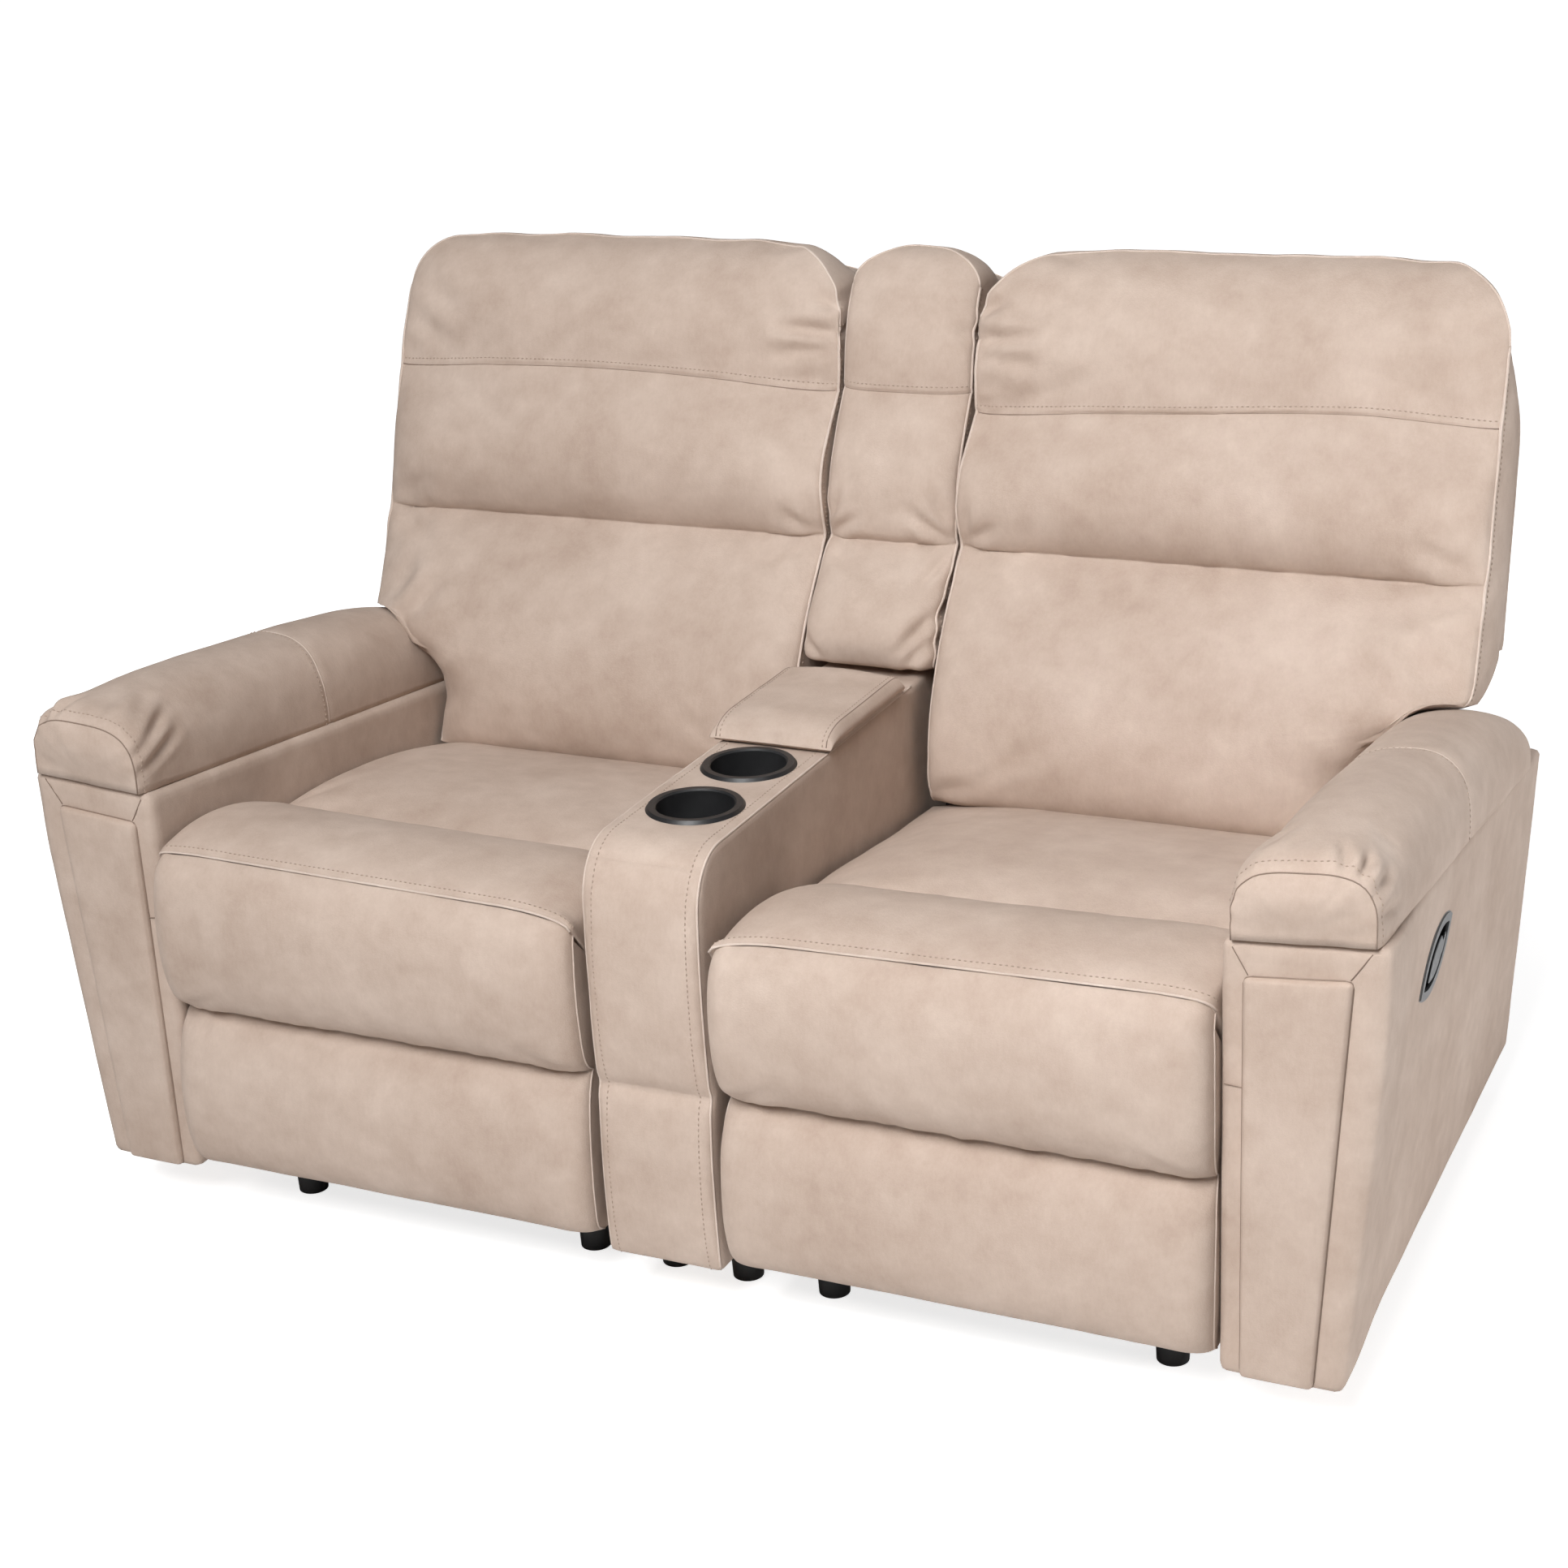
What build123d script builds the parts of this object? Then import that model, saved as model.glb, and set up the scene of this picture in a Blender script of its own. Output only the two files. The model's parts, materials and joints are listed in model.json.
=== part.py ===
from build123d import *
import math
import os

os.makedirs("parts", exist_ok=True)

# Units are millimetres. +Z is up, the sofa faces -Y, and X = 0 is the middle of the console.
# The origin is on the floor under the middle of the whole sofa.

# Widths, measured from the middle of the console
CONSOLE_HALF = 71.0            # half width of the console box
ARM_INNER_X = 640.0            # inner face of an arm
ARM_WIDTH = 125.0              # width of an arm at its lower edge
ARM_FLARE = 31.0               # how far an arm widens outwards up to its pad
SEAT_GAP = 12.0                # room beside a seat cushion on the console side
BACK_GAP = 21.0                # from the console's side to the inner edge of a seat back
WING_REACH = 100.0             # how far a seat back's wing reaches over the arm

# Depths and heights of the body
FRONT_Y = -455.0               # front plane of the arms
ARM_REAR_Y = 395.0             # rear plane of the arms
CONSOLE_REAR_Y = 402.0         # rear plane of the console
BODY_Z = 67.0                  # underside of the arms and console
ARM_TOP_Z = 556.0              # top of an arm under its pad, at the front inner corner
ARM_SLOPE = 0.112              # fall of the arm top towards the rear
DECK_Z = 565.0                 # top of the console
WALL = 16.0                    # upholstered wall of an arm

# Seat
SEAT_CROWN = 28.0              # swell of the rear part of a seat cushion
BOLSTER_TOP_Z = 503.0          # crown of the front roll
SEAT_NOSE_Z = 480.0            # front edge of the front roll
SEAT_CREASE_Y = -236.0         # stitched crease behind the front roll
SEAT_CREASE_Z = 453.0
SEAT_EDGE_DROP = 26.0          # fall of a seat cushion at its two sides
SEAT_REAR_Y = 165.0

# Footrest
PAD_FRONT_Y = -495.0           # crown of the footrest's upper panel
TUCK_Y = -452.0                # pulled-in seam between the two footrest panels
TUCK_Z = 285.0
PAD_TOP_Z = 477.0
PAD_LOW_Z = 86.0
BOARD_FRONT_Y = -412.0
BOARD_T = 15.0

# Seat back
BACK_TILT = 12.0               # lean of the outside back, in degrees
BACK_FOOT_Y = 350.0            # lower rear edge of the outside back
BACK_FOOT_Z = 327.0
BACK_TOP_DROP = 46.3           # from the crown of the head roll down to the outside back's upper edge
BACK_PAN = 50.0                # depth of the outside back's pan
FRAME_DROP = 34.0              # how far the wooden frames stay inside the outside back's round shoulders
BACK_CREST_Z = 1058.0          # crown of the head roll
BACK_LOW = (139.0, 414.0)      # front lower edge of the lumbar roll, as (y, z)
LUMBAR_Y = 250.0               # deep tuck over the lumbar roll
LUMBAR_SHARE = 0.4596          # its height, as a share of the back cushion's height
LUMBAR_SWELL = 66.0            # how far the lumbar roll stands off the line between its two edges
HEAD_Y = 306.0                 # flat seam under the head roll
HEAD_SHARE = 0.7399
WING_Z = 596.0                 # underside of the wing at its front, above the arm pad
WING_FALL = 28.0               # how far that underside falls towards the rear
WING_RUN = 75.0                # depth over which it falls
PIVOT = (225.0, 420.0)         # recline pivot, as (y, z)

# Footrest linkage, as (y, z) at rest
LINK_PIVOT_Y = -335.0          # pivot of the lower link on the side plate
LINK_CLEAR = 7.204             # room between a lower link and the base rail
SEAT_CLEAR = 29.51             # from the uppermost link pivot up to the seat cushion
LOWER_LEN = 185.0
LOWER_ANGLE = -85.0            # degrees above the forward direction
UPPER_LEN = 180.0
UPPER_ANGLE = 84.0
LINK_PITCH = 60.0              # distance between the two upper links
LINK_W = 21.0
LINK_T = 4.0
STUD_R = 6.0
RUN = 0.06                     # radial running clearance of a pivot

# Base
RAIL_TOP_Z = 98.0
RAIL_LOW_Z = 70.0
FOOT_R = 21.0
FOOT_FRONT_Y = -344.0
FOOT_REAR_Y = 215.0
SEAT_FOOT_X = 201.0            # feet from the middle of a seat
CONSOLE_FOOT_INSET = 25.0      # from the console's side to the middle of a foot

# Console
CUP_R = 44.0                   # bore of a cup holder
CUP_RING_R = 56.0
CUP_DEPTH = 75.0
CUP_FRONT_Y = -314.0
CUP_REAR_Y = -178.0
LID_FRONT_Y = -112.0
LID_REAR_Y = 99.0
BIN_DEPTH = 235.0
BIN_INSET = 21.0               # from the console's side to the bin's side
HINGE_Y = 104.0
HINGE_Z = DECK_Z + 4.5

# Release handle on the outside of an arm
HANDLE_Y = -173.0
HANDLE_Z = 438.0
HANDLE_TURN = 20.0             # rise of the handle's long axis towards the rear, in degrees
HANDLE_A = 70.0                # half length of the bezel
HANDLE_B = 34.0                # half height of the bezel
PADDLE_PIN = 34.0              # paddle's pivot, from the middle of the handle

ARM_FOOT_X = ARM_INNER_X + ARM_WIDTH
ARM_TOP_X = ARM_FOOT_X + ARM_FLARE
WING_X = ARM_INNER_X + WING_REACH
BACK_INNER_X = CONSOLE_HALF + BACK_GAP
BIN_HALF = CONSOLE_HALF - BIN_INSET
CONSOLE_FOOT_X = CONSOLE_HALF - CONSOLE_FOOT_INSET
BACK_RISE = (BACK_CREST_Z - BACK_TOP_DROP - BACK_FOOT_Z) / math.cos(math.radians(BACK_TILT))
BACK_HIGH = BACK_CREST_Z - BACK_LOW[1]
LUMBAR_SEAM = (LUMBAR_Y, BACK_LOW[1] + LUMBAR_SHARE * BACK_HIGH)
HEAD_SEAM = (HEAD_Y, BACK_LOW[1] + HEAD_SHARE * BACK_HIGH)
SEAT_IN = CONSOLE_HALF + SEAT_GAP
SEAT_OUT = ARM_INNER_X - 10.0
SEAT_MID = (SEAT_IN + SEAT_OUT) / 2
SEAT_HALF = (SEAT_OUT - SEAT_IN) / 2
PLATE_X = SEAT_HALF - 16.0     # inner face of a side plate, from the middle of a seat
LINK_STEP = LINK_T + 1.0       # spacing of the link layers
GUIDE_X = PLATE_X - LINK_STEP
LOWER_X = GUIDE_X - LINK_STEP
UPPER_X = LOWER_X - LINK_STEP
FRAME_X = UPPER_X - 9.0        # outer face of the seat frame


def box(x0, x1, y0, y1, z0, z1):
    """A box between two corners."""
    return Pos((x0 + x1) / 2, (y0 + y1) / 2, (z0 + z1) / 2) * Box(x1 - x0, y1 - y0, z1 - z0)


def section(x, lines):
    """A closed section across X, from lines and arcs given in (y, z)."""
    return Plane.YZ.offset(x) * make_face(lines)


def prism(points, x0, x1):
    """A polygon given in (y, z), carried from x0 to x1."""
    return extrude(section(x0, Polyline(*points, close=True)), x1 - x0, dir=(1, 0, 0))


def rod(y, z, radius, x0, x1):
    """A round bar along X."""
    return Pos((x0 + x1) / 2, y, z) * Rot(0, 90, 0) * Cylinder(radius, x1 - x0)


def group(solids):
    """Several separate solids handed in as one node."""
    return Compound([s for item in solids for s in item.solids()])


def bow(p, q, depth):
    """An arc from p to q that stands off its chord by depth, to the left of the way from p to q."""
    dy = q[0] - p[0]
    dz = q[1] - p[1]
    span = math.hypot(dy, dz)
    mid = ((p[0] + q[0]) / 2 - dz / span * depth, (p[1] + q[1]) / 2 + dy / span * depth)
    return ThreePointArc(p, mid, q)


def mixed(low, high, share):
    """A value between low and high."""
    return low + (high - low) * share


def lean(part):
    """Carries a piece drawn upright, with its rear on Y = 0, to the lean of the outside back."""
    return Pos(0, BACK_FOOT_Y, BACK_FOOT_Z) * Rot(-BACK_TILT, 0, 0) * part


def on_back(depth, rise):
    """The (y, z) of a point at a depth in front of the outside back and a rise along it."""
    a = math.radians(BACK_TILT)
    return (
        BACK_FOOT_Y + rise * math.sin(a) - depth * math.cos(a),
        BACK_FOOT_Z + rise * math.cos(a) + depth * math.sin(a),
    )


def link_point(start, length, angle):
    """The (y, z) at the far end of a link, with the angle counted from forward to up."""
    a = math.radians(angle)
    return (start[0] - length * math.cos(a), start[1] + length * math.sin(a))


def both_ends(make):
    """A piece drawn for the positive end of a seat, and its mirror image at the other end."""
    one = make()
    return [one, mirror(one, about=Plane.YZ)]


LOWER_END_Z = RAIL_TOP_Z + LINK_CLEAR + LINK_W / 2
LINK_PIVOT = (LINK_PIVOT_Y, LOWER_END_Z - LOWER_LEN * math.sin(math.radians(LOWER_ANGLE)))
LOWER_END = link_point(LINK_PIVOT, LOWER_LEN, LOWER_ANGLE)
GUIDE_END = link_point(LOWER_END, -LINK_PITCH, LOWER_ANGLE)
UPPER_TIP = link_point(LOWER_END, UPPER_LEN, UPPER_ANGLE)
GUIDE_TIP = link_point(GUIDE_END, UPPER_LEN, UPPER_ANGLE)
SEAT_BASE_Z = GUIDE_TIP[1] + SEAT_CLEAR


def seat_cushion():
    """Foam seat with a front roll, a stitched crease and drawn-in sides."""
    low_front = (BOARD_FRONT_Y + 13, SEAT_BASE_Z)
    sections = []
    for share, full in ((-1, 0), (-0.94, 0.5), (-0.72, 0.88), (0, 1), (0.72, 0.88), (0.94, 0.5), (1, 0)):
        drop = SEAT_EDGE_DROP * (1 - full)
        nose_z = SEAT_NOSE_Z - 0.75 * drop
        nose = (low_front[0] - (nose_z - SEAT_BASE_Z) / math.tan(math.radians(60)), nose_z)
        crease = (SEAT_CREASE_Y, SEAT_CREASE_Z - drop)
        rear = (BACK_LOW[0] + 8, BACK_LOW[1] - 11 - drop * 0.4)
        heel = (SEAT_REAR_Y, mixed(SEAT_BASE_Z, rear[1], 0.6))
        roll = BOLSTER_TOP_Z - (SEAT_CREASE_Z + SEAT_NOSE_Z) / 2 - 8 * (1 - full)
        crown = SEAT_CROWN - 8 * (1 - full)
        sections.append(section(SEAT_HALF * share, [
            bow(rear, crease, -crown),
            bow(crease, nose, -roll),
            Line(nose, low_front),
            Line(low_front, (SEAT_REAR_Y, SEAT_BASE_Z)),
            Line((SEAT_REAR_Y, SEAT_BASE_Z), heel),
            Line(heel, rear),
        ]))
    return loft(sections)


def seat_frame():
    """Wooden seat frame: two side rails between a front and a rear rail."""
    y0 = BOARD_FRONT_Y + 32
    y1 = SEAT_REAR_Y - 3
    z0 = SEAT_BASE_Z - 49
    z1 = SEAT_BASE_Z - 4
    return group([
        box(-FRAME_X, -FRAME_X + 25, y0, y1, z0, z1),
        box(FRAME_X - 25, FRAME_X, y0, y1, z0, z1),
        box(-FRAME_X + 25, FRAME_X - 25, y0, y0 + 25, z0, z1),
        box(-FRAME_X + 25, FRAME_X - 25, y1 - 25, y1, z0, z1),
    ])


def seat_springs():
    """Flat zigzag springs on the front and rear rails, under the seat cushion."""
    y0 = BOARD_FRONT_Y + 44
    y1 = SEAT_REAR_Y - 16
    steps = 12
    pitch = (y1 - y0) / steps
    springs = []
    for x in (-150.0, -50.0, 50.0, 150.0):
        points = [(x, y0)]
        for i in range(1, steps):
            points.append((x + (24 if i % 2 else -24), y0 + pitch * i))
        points.append((x, y1))
        springs.append(Pos(0, 0, SEAT_BASE_Z - 4) * extrude(trace(Polyline(*points), 4.0), 4.0))
    return group(springs)


def base_frame():
    """Welded steel base: two side rails and two cross tubes that reach the arm and the console."""
    rails = [
        box(-PLATE_X - 11, -PLATE_X + 13, FOOT_FRONT_Y - 26, FOOT_REAR_Y + 20, RAIL_LOW_Z, RAIL_TOP_Z),
        box(PLATE_X - 13, PLATE_X + 11, FOOT_FRONT_Y - 26, FOOT_REAR_Y + 20, RAIL_LOW_Z, RAIL_TOP_Z),
    ]
    for y in (FOOT_FRONT_Y, FOOT_REAR_Y):
        rails.append(box(CONSOLE_HALF - SEAT_MID, ARM_INNER_X - SEAT_MID, y - 15, y + 15, RAIL_LOW_Z, RAIL_TOP_Z))
    return rails[0] + rails[1] + rails[2] + rails[3]


def side_plates():
    """Steel side plates that carry the linkage and the recline pivots, with riveted studs."""
    py, pz = LINK_PIVOT
    front = py - 17
    outline = [
        (front, SEAT_BASE_Z - 1), (front, pz - 12), (py + 15, pz - 16), (py + 135, pz - 70),
        (py + 185, RAIL_TOP_Z), (PIVOT[0] - 105, RAIL_TOP_Z), (PIVOT[0] - 75, 250),
        (PIVOT[0] - 25, PIVOT[1] - 90), (PIVOT[0] + 15, PIVOT[1] - 15), (PIVOT[0] + 15, PIVOT[1] + 16),
        (PIVOT[0] - 15, PIVOT[1] + 16), (PIVOT[0] - 55, SEAT_BASE_Z - 1),
    ]

    def plate():
        sheet = prism(outline, PLATE_X, PLATE_X + LINK_T)
        flange = box(FRAME_X - 18, PLATE_X, front, SEAT_REAR_Y - 8, SEAT_BASE_Z - 4, SEAT_BASE_Z - 1)
        link_stud = rod(py, pz, STUD_R, LOWER_X + 0.5, PLATE_X)
        back_stud = rod(PIVOT[0], PIVOT[1], STUD_R + 2, PLATE_X - 6, PLATE_X)
        return sheet + flange + link_stud + back_stud

    return group(both_ends(plate))


def bar(p, q, x, holes):
    """A flat link with round ends from p to q, with a pivot hole at each point in holes."""
    length = math.hypot(q[0] - p[0], q[1] - p[1])
    turn = math.degrees(math.atan2(q[1] - p[1], q[0] - p[0]))
    blank = Pos((p[0] + q[0]) / 2, (p[1] + q[1]) / 2) * Rot(0, 0, turn) * SlotCenterToCenter(length, LINK_W)
    for y, z in holes:
        blank -= Pos(y, z) * Circle(STUD_R + RUN)
    return extrude(Plane.YZ.offset(x) * blank, LINK_T, dir=(1, 0, 0))


def lower_links():
    """Driven links on the side plates, each with studs for the two upper links."""
    def link():
        blade = bar(LINK_PIVOT, LOWER_END, LOWER_X, [LINK_PIVOT])
        inner = rod(LOWER_END[0], LOWER_END[1], STUD_R, UPPER_X - 0.5, LOWER_X)
        outer = rod(GUIDE_END[0], GUIDE_END[1], STUD_R, LOWER_X + LINK_T, PLATE_X - 0.5)
        return blade + inner + outer
    return group(both_ends(link))


def torque_tube():
    """Tube that makes the lower links at the two ends turn together."""
    y, z = LINK_PIVOT
    return rod(y, z, STUD_R + 3.5, -LOWER_X, LOWER_X) - rod(y, z, STUD_R + 1.5, -LOWER_X, LOWER_X)


def upper_links():
    """Inner pair of upper links, from the lower links to the footrest brackets."""
    return group(both_ends(lambda: bar(LOWER_END, UPPER_TIP, UPPER_X, [LOWER_END, UPPER_TIP])))


def guide_links():
    """Outer pair of upper links, parallel to the inner pair, which keep the footrest in line."""
    return group(both_ends(lambda: bar(GUIDE_END, GUIDE_TIP, GUIDE_X, [GUIDE_END, GUIDE_TIP])))


def footrest_brackets():
    """Steel angle brackets behind the footrest board, with studs for the upper links."""
    rear = BOARD_FRONT_Y + BOARD_T
    low = UPPER_TIP[1] - 13
    high = GUIDE_TIP[1] + 15
    reach = GUIDE_TIP[0] + 12

    def bracket():
        web = prism([(rear, low), (rear, high), (reach, high), (reach, GUIDE_TIP[1] - 12), (UPPER_TIP[0] + 12, low)],
                    LOWER_X, LOWER_X + LINK_T)
        flange = box(LOWER_X - 26, LOWER_X, rear, rear + LINK_T, low, high)
        inner = rod(UPPER_TIP[0], UPPER_TIP[1], STUD_R, UPPER_X - 0.5, LOWER_X)
        outer = rod(GUIDE_TIP[0], GUIDE_TIP[1], STUD_R, LOWER_X + LINK_T, PLATE_X - 0.5)
        return web + flange + inner + outer

    return group(both_ends(bracket))


def footrest_board():
    """Plywood board behind the footrest pad."""
    half = SEAT_HALF - 16
    return box(-half, half, BOARD_FRONT_Y, BOARD_FRONT_Y + BOARD_T, PAD_LOW_Z + 16, SEAT_BASE_Z - 6)


def footrest_pad():
    """Padded footrest front: two crowned panels with a pulled-in seam between them."""
    half = SEAT_HALF - 2
    shoulder = SEAT_BASE_Z + 10
    sections = []
    for share, full in ((-1, 0), (-0.95, 0.5), (-0.76, 0.9), (0, 1), (0.76, 0.9), (0.95, 0.5), (1, 0)):
        draw = 12 * (1 - full)
        top_z = PAD_TOP_Z - 1.2 * draw
        top = (BOARD_FRONT_Y - (top_z - shoulder) / math.tan(math.radians(60)), top_z)
        tuck = (TUCK_Y + draw, TUCK_Z)
        low = (TUCK_Y + draw, PAD_LOW_Z + draw)
        upper_crown = mixed(14, TUCK_Y - PAD_FRONT_Y - 3.5, full)
        lower_crown = mixed(12, TUCK_Y - PAD_FRONT_Y - 7, full)
        sections.append(section(half * share, [
            bow(top, tuck, -upper_crown),
            bow(tuck, low, -lower_crown),
            Line(low, (BOARD_FRONT_Y, PAD_LOW_Z + 14)),
            Line((BOARD_FRONT_Y, PAD_LOW_Z + 14), (BOARD_FRONT_Y, shoulder)),
            Line((BOARD_FRONT_Y, shoulder), top),
        ]))
    return loft(sections)


def back_front(x, full, low, heel, foot, swell):
    """One section of a back cushion: lumbar roll, middle panel and head roll on a straight rear."""
    draw = 8 * (1 - full)
    lumbar = (LUMBAR_SEAM[0] + draw, LUMBAR_SEAM[1])
    head = (HEAD_SEAM[0] + draw, HEAD_SEAM[1])
    brow = (HEAD_SEAM[0] + 70 + draw, BACK_CREST_Z - 22 - 2 * draw)
    nape = on_back(BACK_PAN, BACK_RISE - 10)
    crest = (mixed(brow[0], nape[0], 0.55), BACK_CREST_Z - 2.5 * draw)
    return section(x, [
        bow(low, lumbar, swell),
        bow(lumbar, head, mixed(6, 32, full)),
        bow(head, brow, mixed(9, 24, full)),
        ThreePointArc(brow, crest, nape),
        Line(nape, foot),
        Line(foot, heel),
        Line(heel, low),
    ])


def back_cushion():
    """Back cushion of a seat with a wing that reaches over the arm."""
    foot = on_back(BACK_PAN, 140)
    inner = BACK_INNER_X - SEAT_MID
    outer = WING_X - SEAT_MID
    sections = []
    for share, full, set_back in (
        (0, 0, 8), (0.022, 0.5, 4), (0.15, 0.92, 0), (0.5, 1, 0), (0.72, 0.93, 5), (0.9, 0.5, 24), (1, 0, 38),
    ):
        low = (BACK_LOW[0] + set_back, BACK_LOW[1])
        heel = (low[0] + 36, low[1] + 36)
        swell = mixed(0.36, 1, full) * LUMBAR_SWELL
        sections.append(back_front(mixed(inner, outer, share), full, low, heel, foot, swell))
    brim = BACK_LOW[0] + 76
    notch = prism([
        (BACK_LOW[0] - 220, BACK_FOOT_Z - 30), (BACK_FOOT_Y + 250, BACK_FOOT_Z - 30),
        (BACK_FOOT_Y + 250, WING_Z - WING_FALL), (brim + WING_RUN, WING_Z - WING_FALL), (brim, WING_Z),
        (BACK_LOW[0] - 220, WING_Z),
    ], ARM_INNER_X - 12 - SEAT_MID, outer + 50)
    return loft(sections) - notch


def pan(outline, inset, depth, skin):
    """A shallow pan with its rear on Y = 0: a rear panel and a rim, from outlines in (x, z)."""
    block = extrude(Plane.XZ * make_face(Polyline(*outline, close=True)), depth, dir=(0, -1, 0))
    hollow = extrude(Plane.XZ.offset(skin) * make_face(Polyline(*inset, close=True)), depth, dir=(0, -1, 0))
    return block - hollow


def back_cover():
    """Upholstered outside back: a pan that closes the rear, the sides and the top of the frame."""
    rim = 8.0
    inner = BACK_INNER_X - SEAT_MID
    outer = WING_X - 4 - SEAT_MID
    low_outer = ARM_INNER_X - 12 - SEAT_MID
    step = (WING_Z - WING_FALL - BACK_FOOT_Z) / math.cos(math.radians(BACK_TILT)) + 2
    outline = [(inner, 0), (low_outer, 0), (low_outer, step), (outer, step), (outer, BACK_RISE), (inner, BACK_RISE)]
    inset = [
        (inner + rim, rim), (low_outer - rim, rim), (low_outer - rim, step + rim), (outer - rim, step + rim),
        (outer - rim, BACK_RISE - rim), (inner + rim, BACK_RISE - rim),
    ]
    return lean(pan(outline, inset, BACK_PAN, 12))


def back_frame():
    """Wooden frame inside a seat back: two posts, three rails and two wing rails."""
    post = GUIDE_X
    wing = WING_X - 16 - SEAT_MID
    top = BACK_RISE - FRAME_DROP
    pieces = [
        box(-post, -post + 25, -BACK_PAN, -12, 12, top),
        box(post - 25, post, -BACK_PAN, -12, 12, top),
    ]
    waist = 0.543 * BACK_RISE
    for low, high in ((20, 60), (waist, waist + 35), (top - 38, top)):
        pieces.append(box(-post + 25, post - 25, -BACK_PAN, -12, low, high))
    for low, high, end in ((waist, waist + 35, wing), (top - 38, top, wing - FRAME_DROP)):
        pieces.append(box(post, end, -BACK_PAN, -12, low, high))
    return group([lean(p) for p in pieces])


def back_brackets():
    """Steel brackets from the back's posts to the recline pivots."""
    reach = [
        on_back(16, 24), on_back(16, 240), on_back(46, 240), on_back(46, 118),
        (PIVOT[0] + 14, PIVOT[1] + 17), (PIVOT[0] - 14, PIVOT[1] + 17),
        (PIVOT[0] - 16, PIVOT[1] - 14), (PIVOT[0] + 10, PIVOT[1] - 17),
    ]

    def bracket():
        return prism(reach, GUIDE_X, GUIDE_X + LINK_T) - rod(PIVOT[0], PIVOT[1], STUD_R + 2 + RUN, 0, 2 * SEAT_HALF)

    return group(both_ends(bracket))


def arm_block(inset):
    """An arm's outline as a solid, drawn in on every side by inset."""
    flare = (ARM_TOP_X - ARM_FOOT_X) / (ARM_TOP_Z + 12 - BODY_Z)
    low = BODY_Z + inset
    high = ARM_TOP_Z + 120
    outline = [
        (ARM_INNER_X + inset, low), (ARM_FOOT_X + flare * (low - BODY_Z) - inset, low),
        (ARM_FOOT_X + flare * (high - BODY_Z) - inset, high), (ARM_INNER_X + inset, high),
    ]
    face = Plane.XZ.offset(-FRONT_Y - inset) * make_face(Polyline(*outline, close=True))
    block = extrude(face, ARM_REAR_Y - FRONT_Y - 2 * inset, dir=(0, 1, 0))
    rise = 12 / (ARM_TOP_X - ARM_INNER_X)
    top = Plane(origin=(ARM_INNER_X, FRONT_Y, ARM_TOP_Z - inset), z_dir=(-rise, ARM_SLOPE, 1))
    return split(block, bisect_by=top, keep=Keep.BOTTOM)


def arm_top(x, y):
    """Height of the arm's top, under the pad."""
    return ARM_TOP_Z + (x - ARM_INNER_X) * 12 / (ARM_TOP_X - ARM_INNER_X) - ARM_SLOPE * (y - FRONT_Y)


def handle_plane():
    """Plane of the release handle: on the arm's outer face, X along the handle, Z outwards."""
    tilt = math.atan((ARM_TOP_X - ARM_FOOT_X) / (ARM_TOP_Z + 12 - BODY_Z))
    turn = math.radians(HANDLE_TURN)
    x = ARM_FOOT_X + (HANDLE_Z - BODY_Z) * math.tan(tilt)
    return Plane(
        origin=(x, HANDLE_Y, HANDLE_Z),
        x_dir=(math.sin(turn) * math.sin(tilt), math.cos(turn), math.sin(turn) * math.cos(tilt)),
        z_dir=(math.cos(tilt), 0, -math.sin(tilt)),
    )


HANDLE_R = (HANDLE_A ** 2 + HANDLE_B ** 2) / (2 * HANDLE_B)


def almond_half(grow, x):
    """Half height of the handle's outline, offset by grow, at a place along the handle."""
    return math.sqrt((HANDLE_R + grow) ** 2 - x ** 2) - HANDLE_R + HANDLE_B


def almond(grow, low, high):
    """An upright almond shape in the handle's plane, offset from the bezel's outline by grow."""
    tip = math.sqrt((HANDLE_R + grow) ** 2 - (HANDLE_R - HANDLE_B) ** 2)
    side = HANDLE_B + grow
    face = make_face([
        ThreePointArc((-tip, 0), (0, side), (tip, 0)),
        ThreePointArc((tip, 0), (0, -side), (-tip, 0)),
    ])
    return extrude(Pos(0, 0, low) * face, high - low, dir=(0, 0, 1))


def arm_body():
    """Upholstered arm box with an opening for the release handle."""
    return arm_block(0) - arm_block(WALL) - handle_plane() * almond(-7.5, -WALL - 20, 20)


def arm_frame():
    """Wooden frame inside an arm: a lower rail, two posts and a sloping top rail."""
    low = BODY_Z + WALL
    x0 = ARM_INNER_X + WALL + 4
    x1 = x0 + 45
    y0 = FRONT_Y + WALL
    y1 = ARM_REAR_Y - WALL
    high = arm_top(ARM_INNER_X, y1) - WALL - 40
    return group([
        box(x0, x1, y0, y1, low, low + 45),
        box(x0, x1, y0, y0 + 45, low + 45, high),
        box(x0, x1, y1 - 45, y1, low + 45, high),
        box(x0, x1, y0, y1, high, high + 30),
    ])


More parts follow.
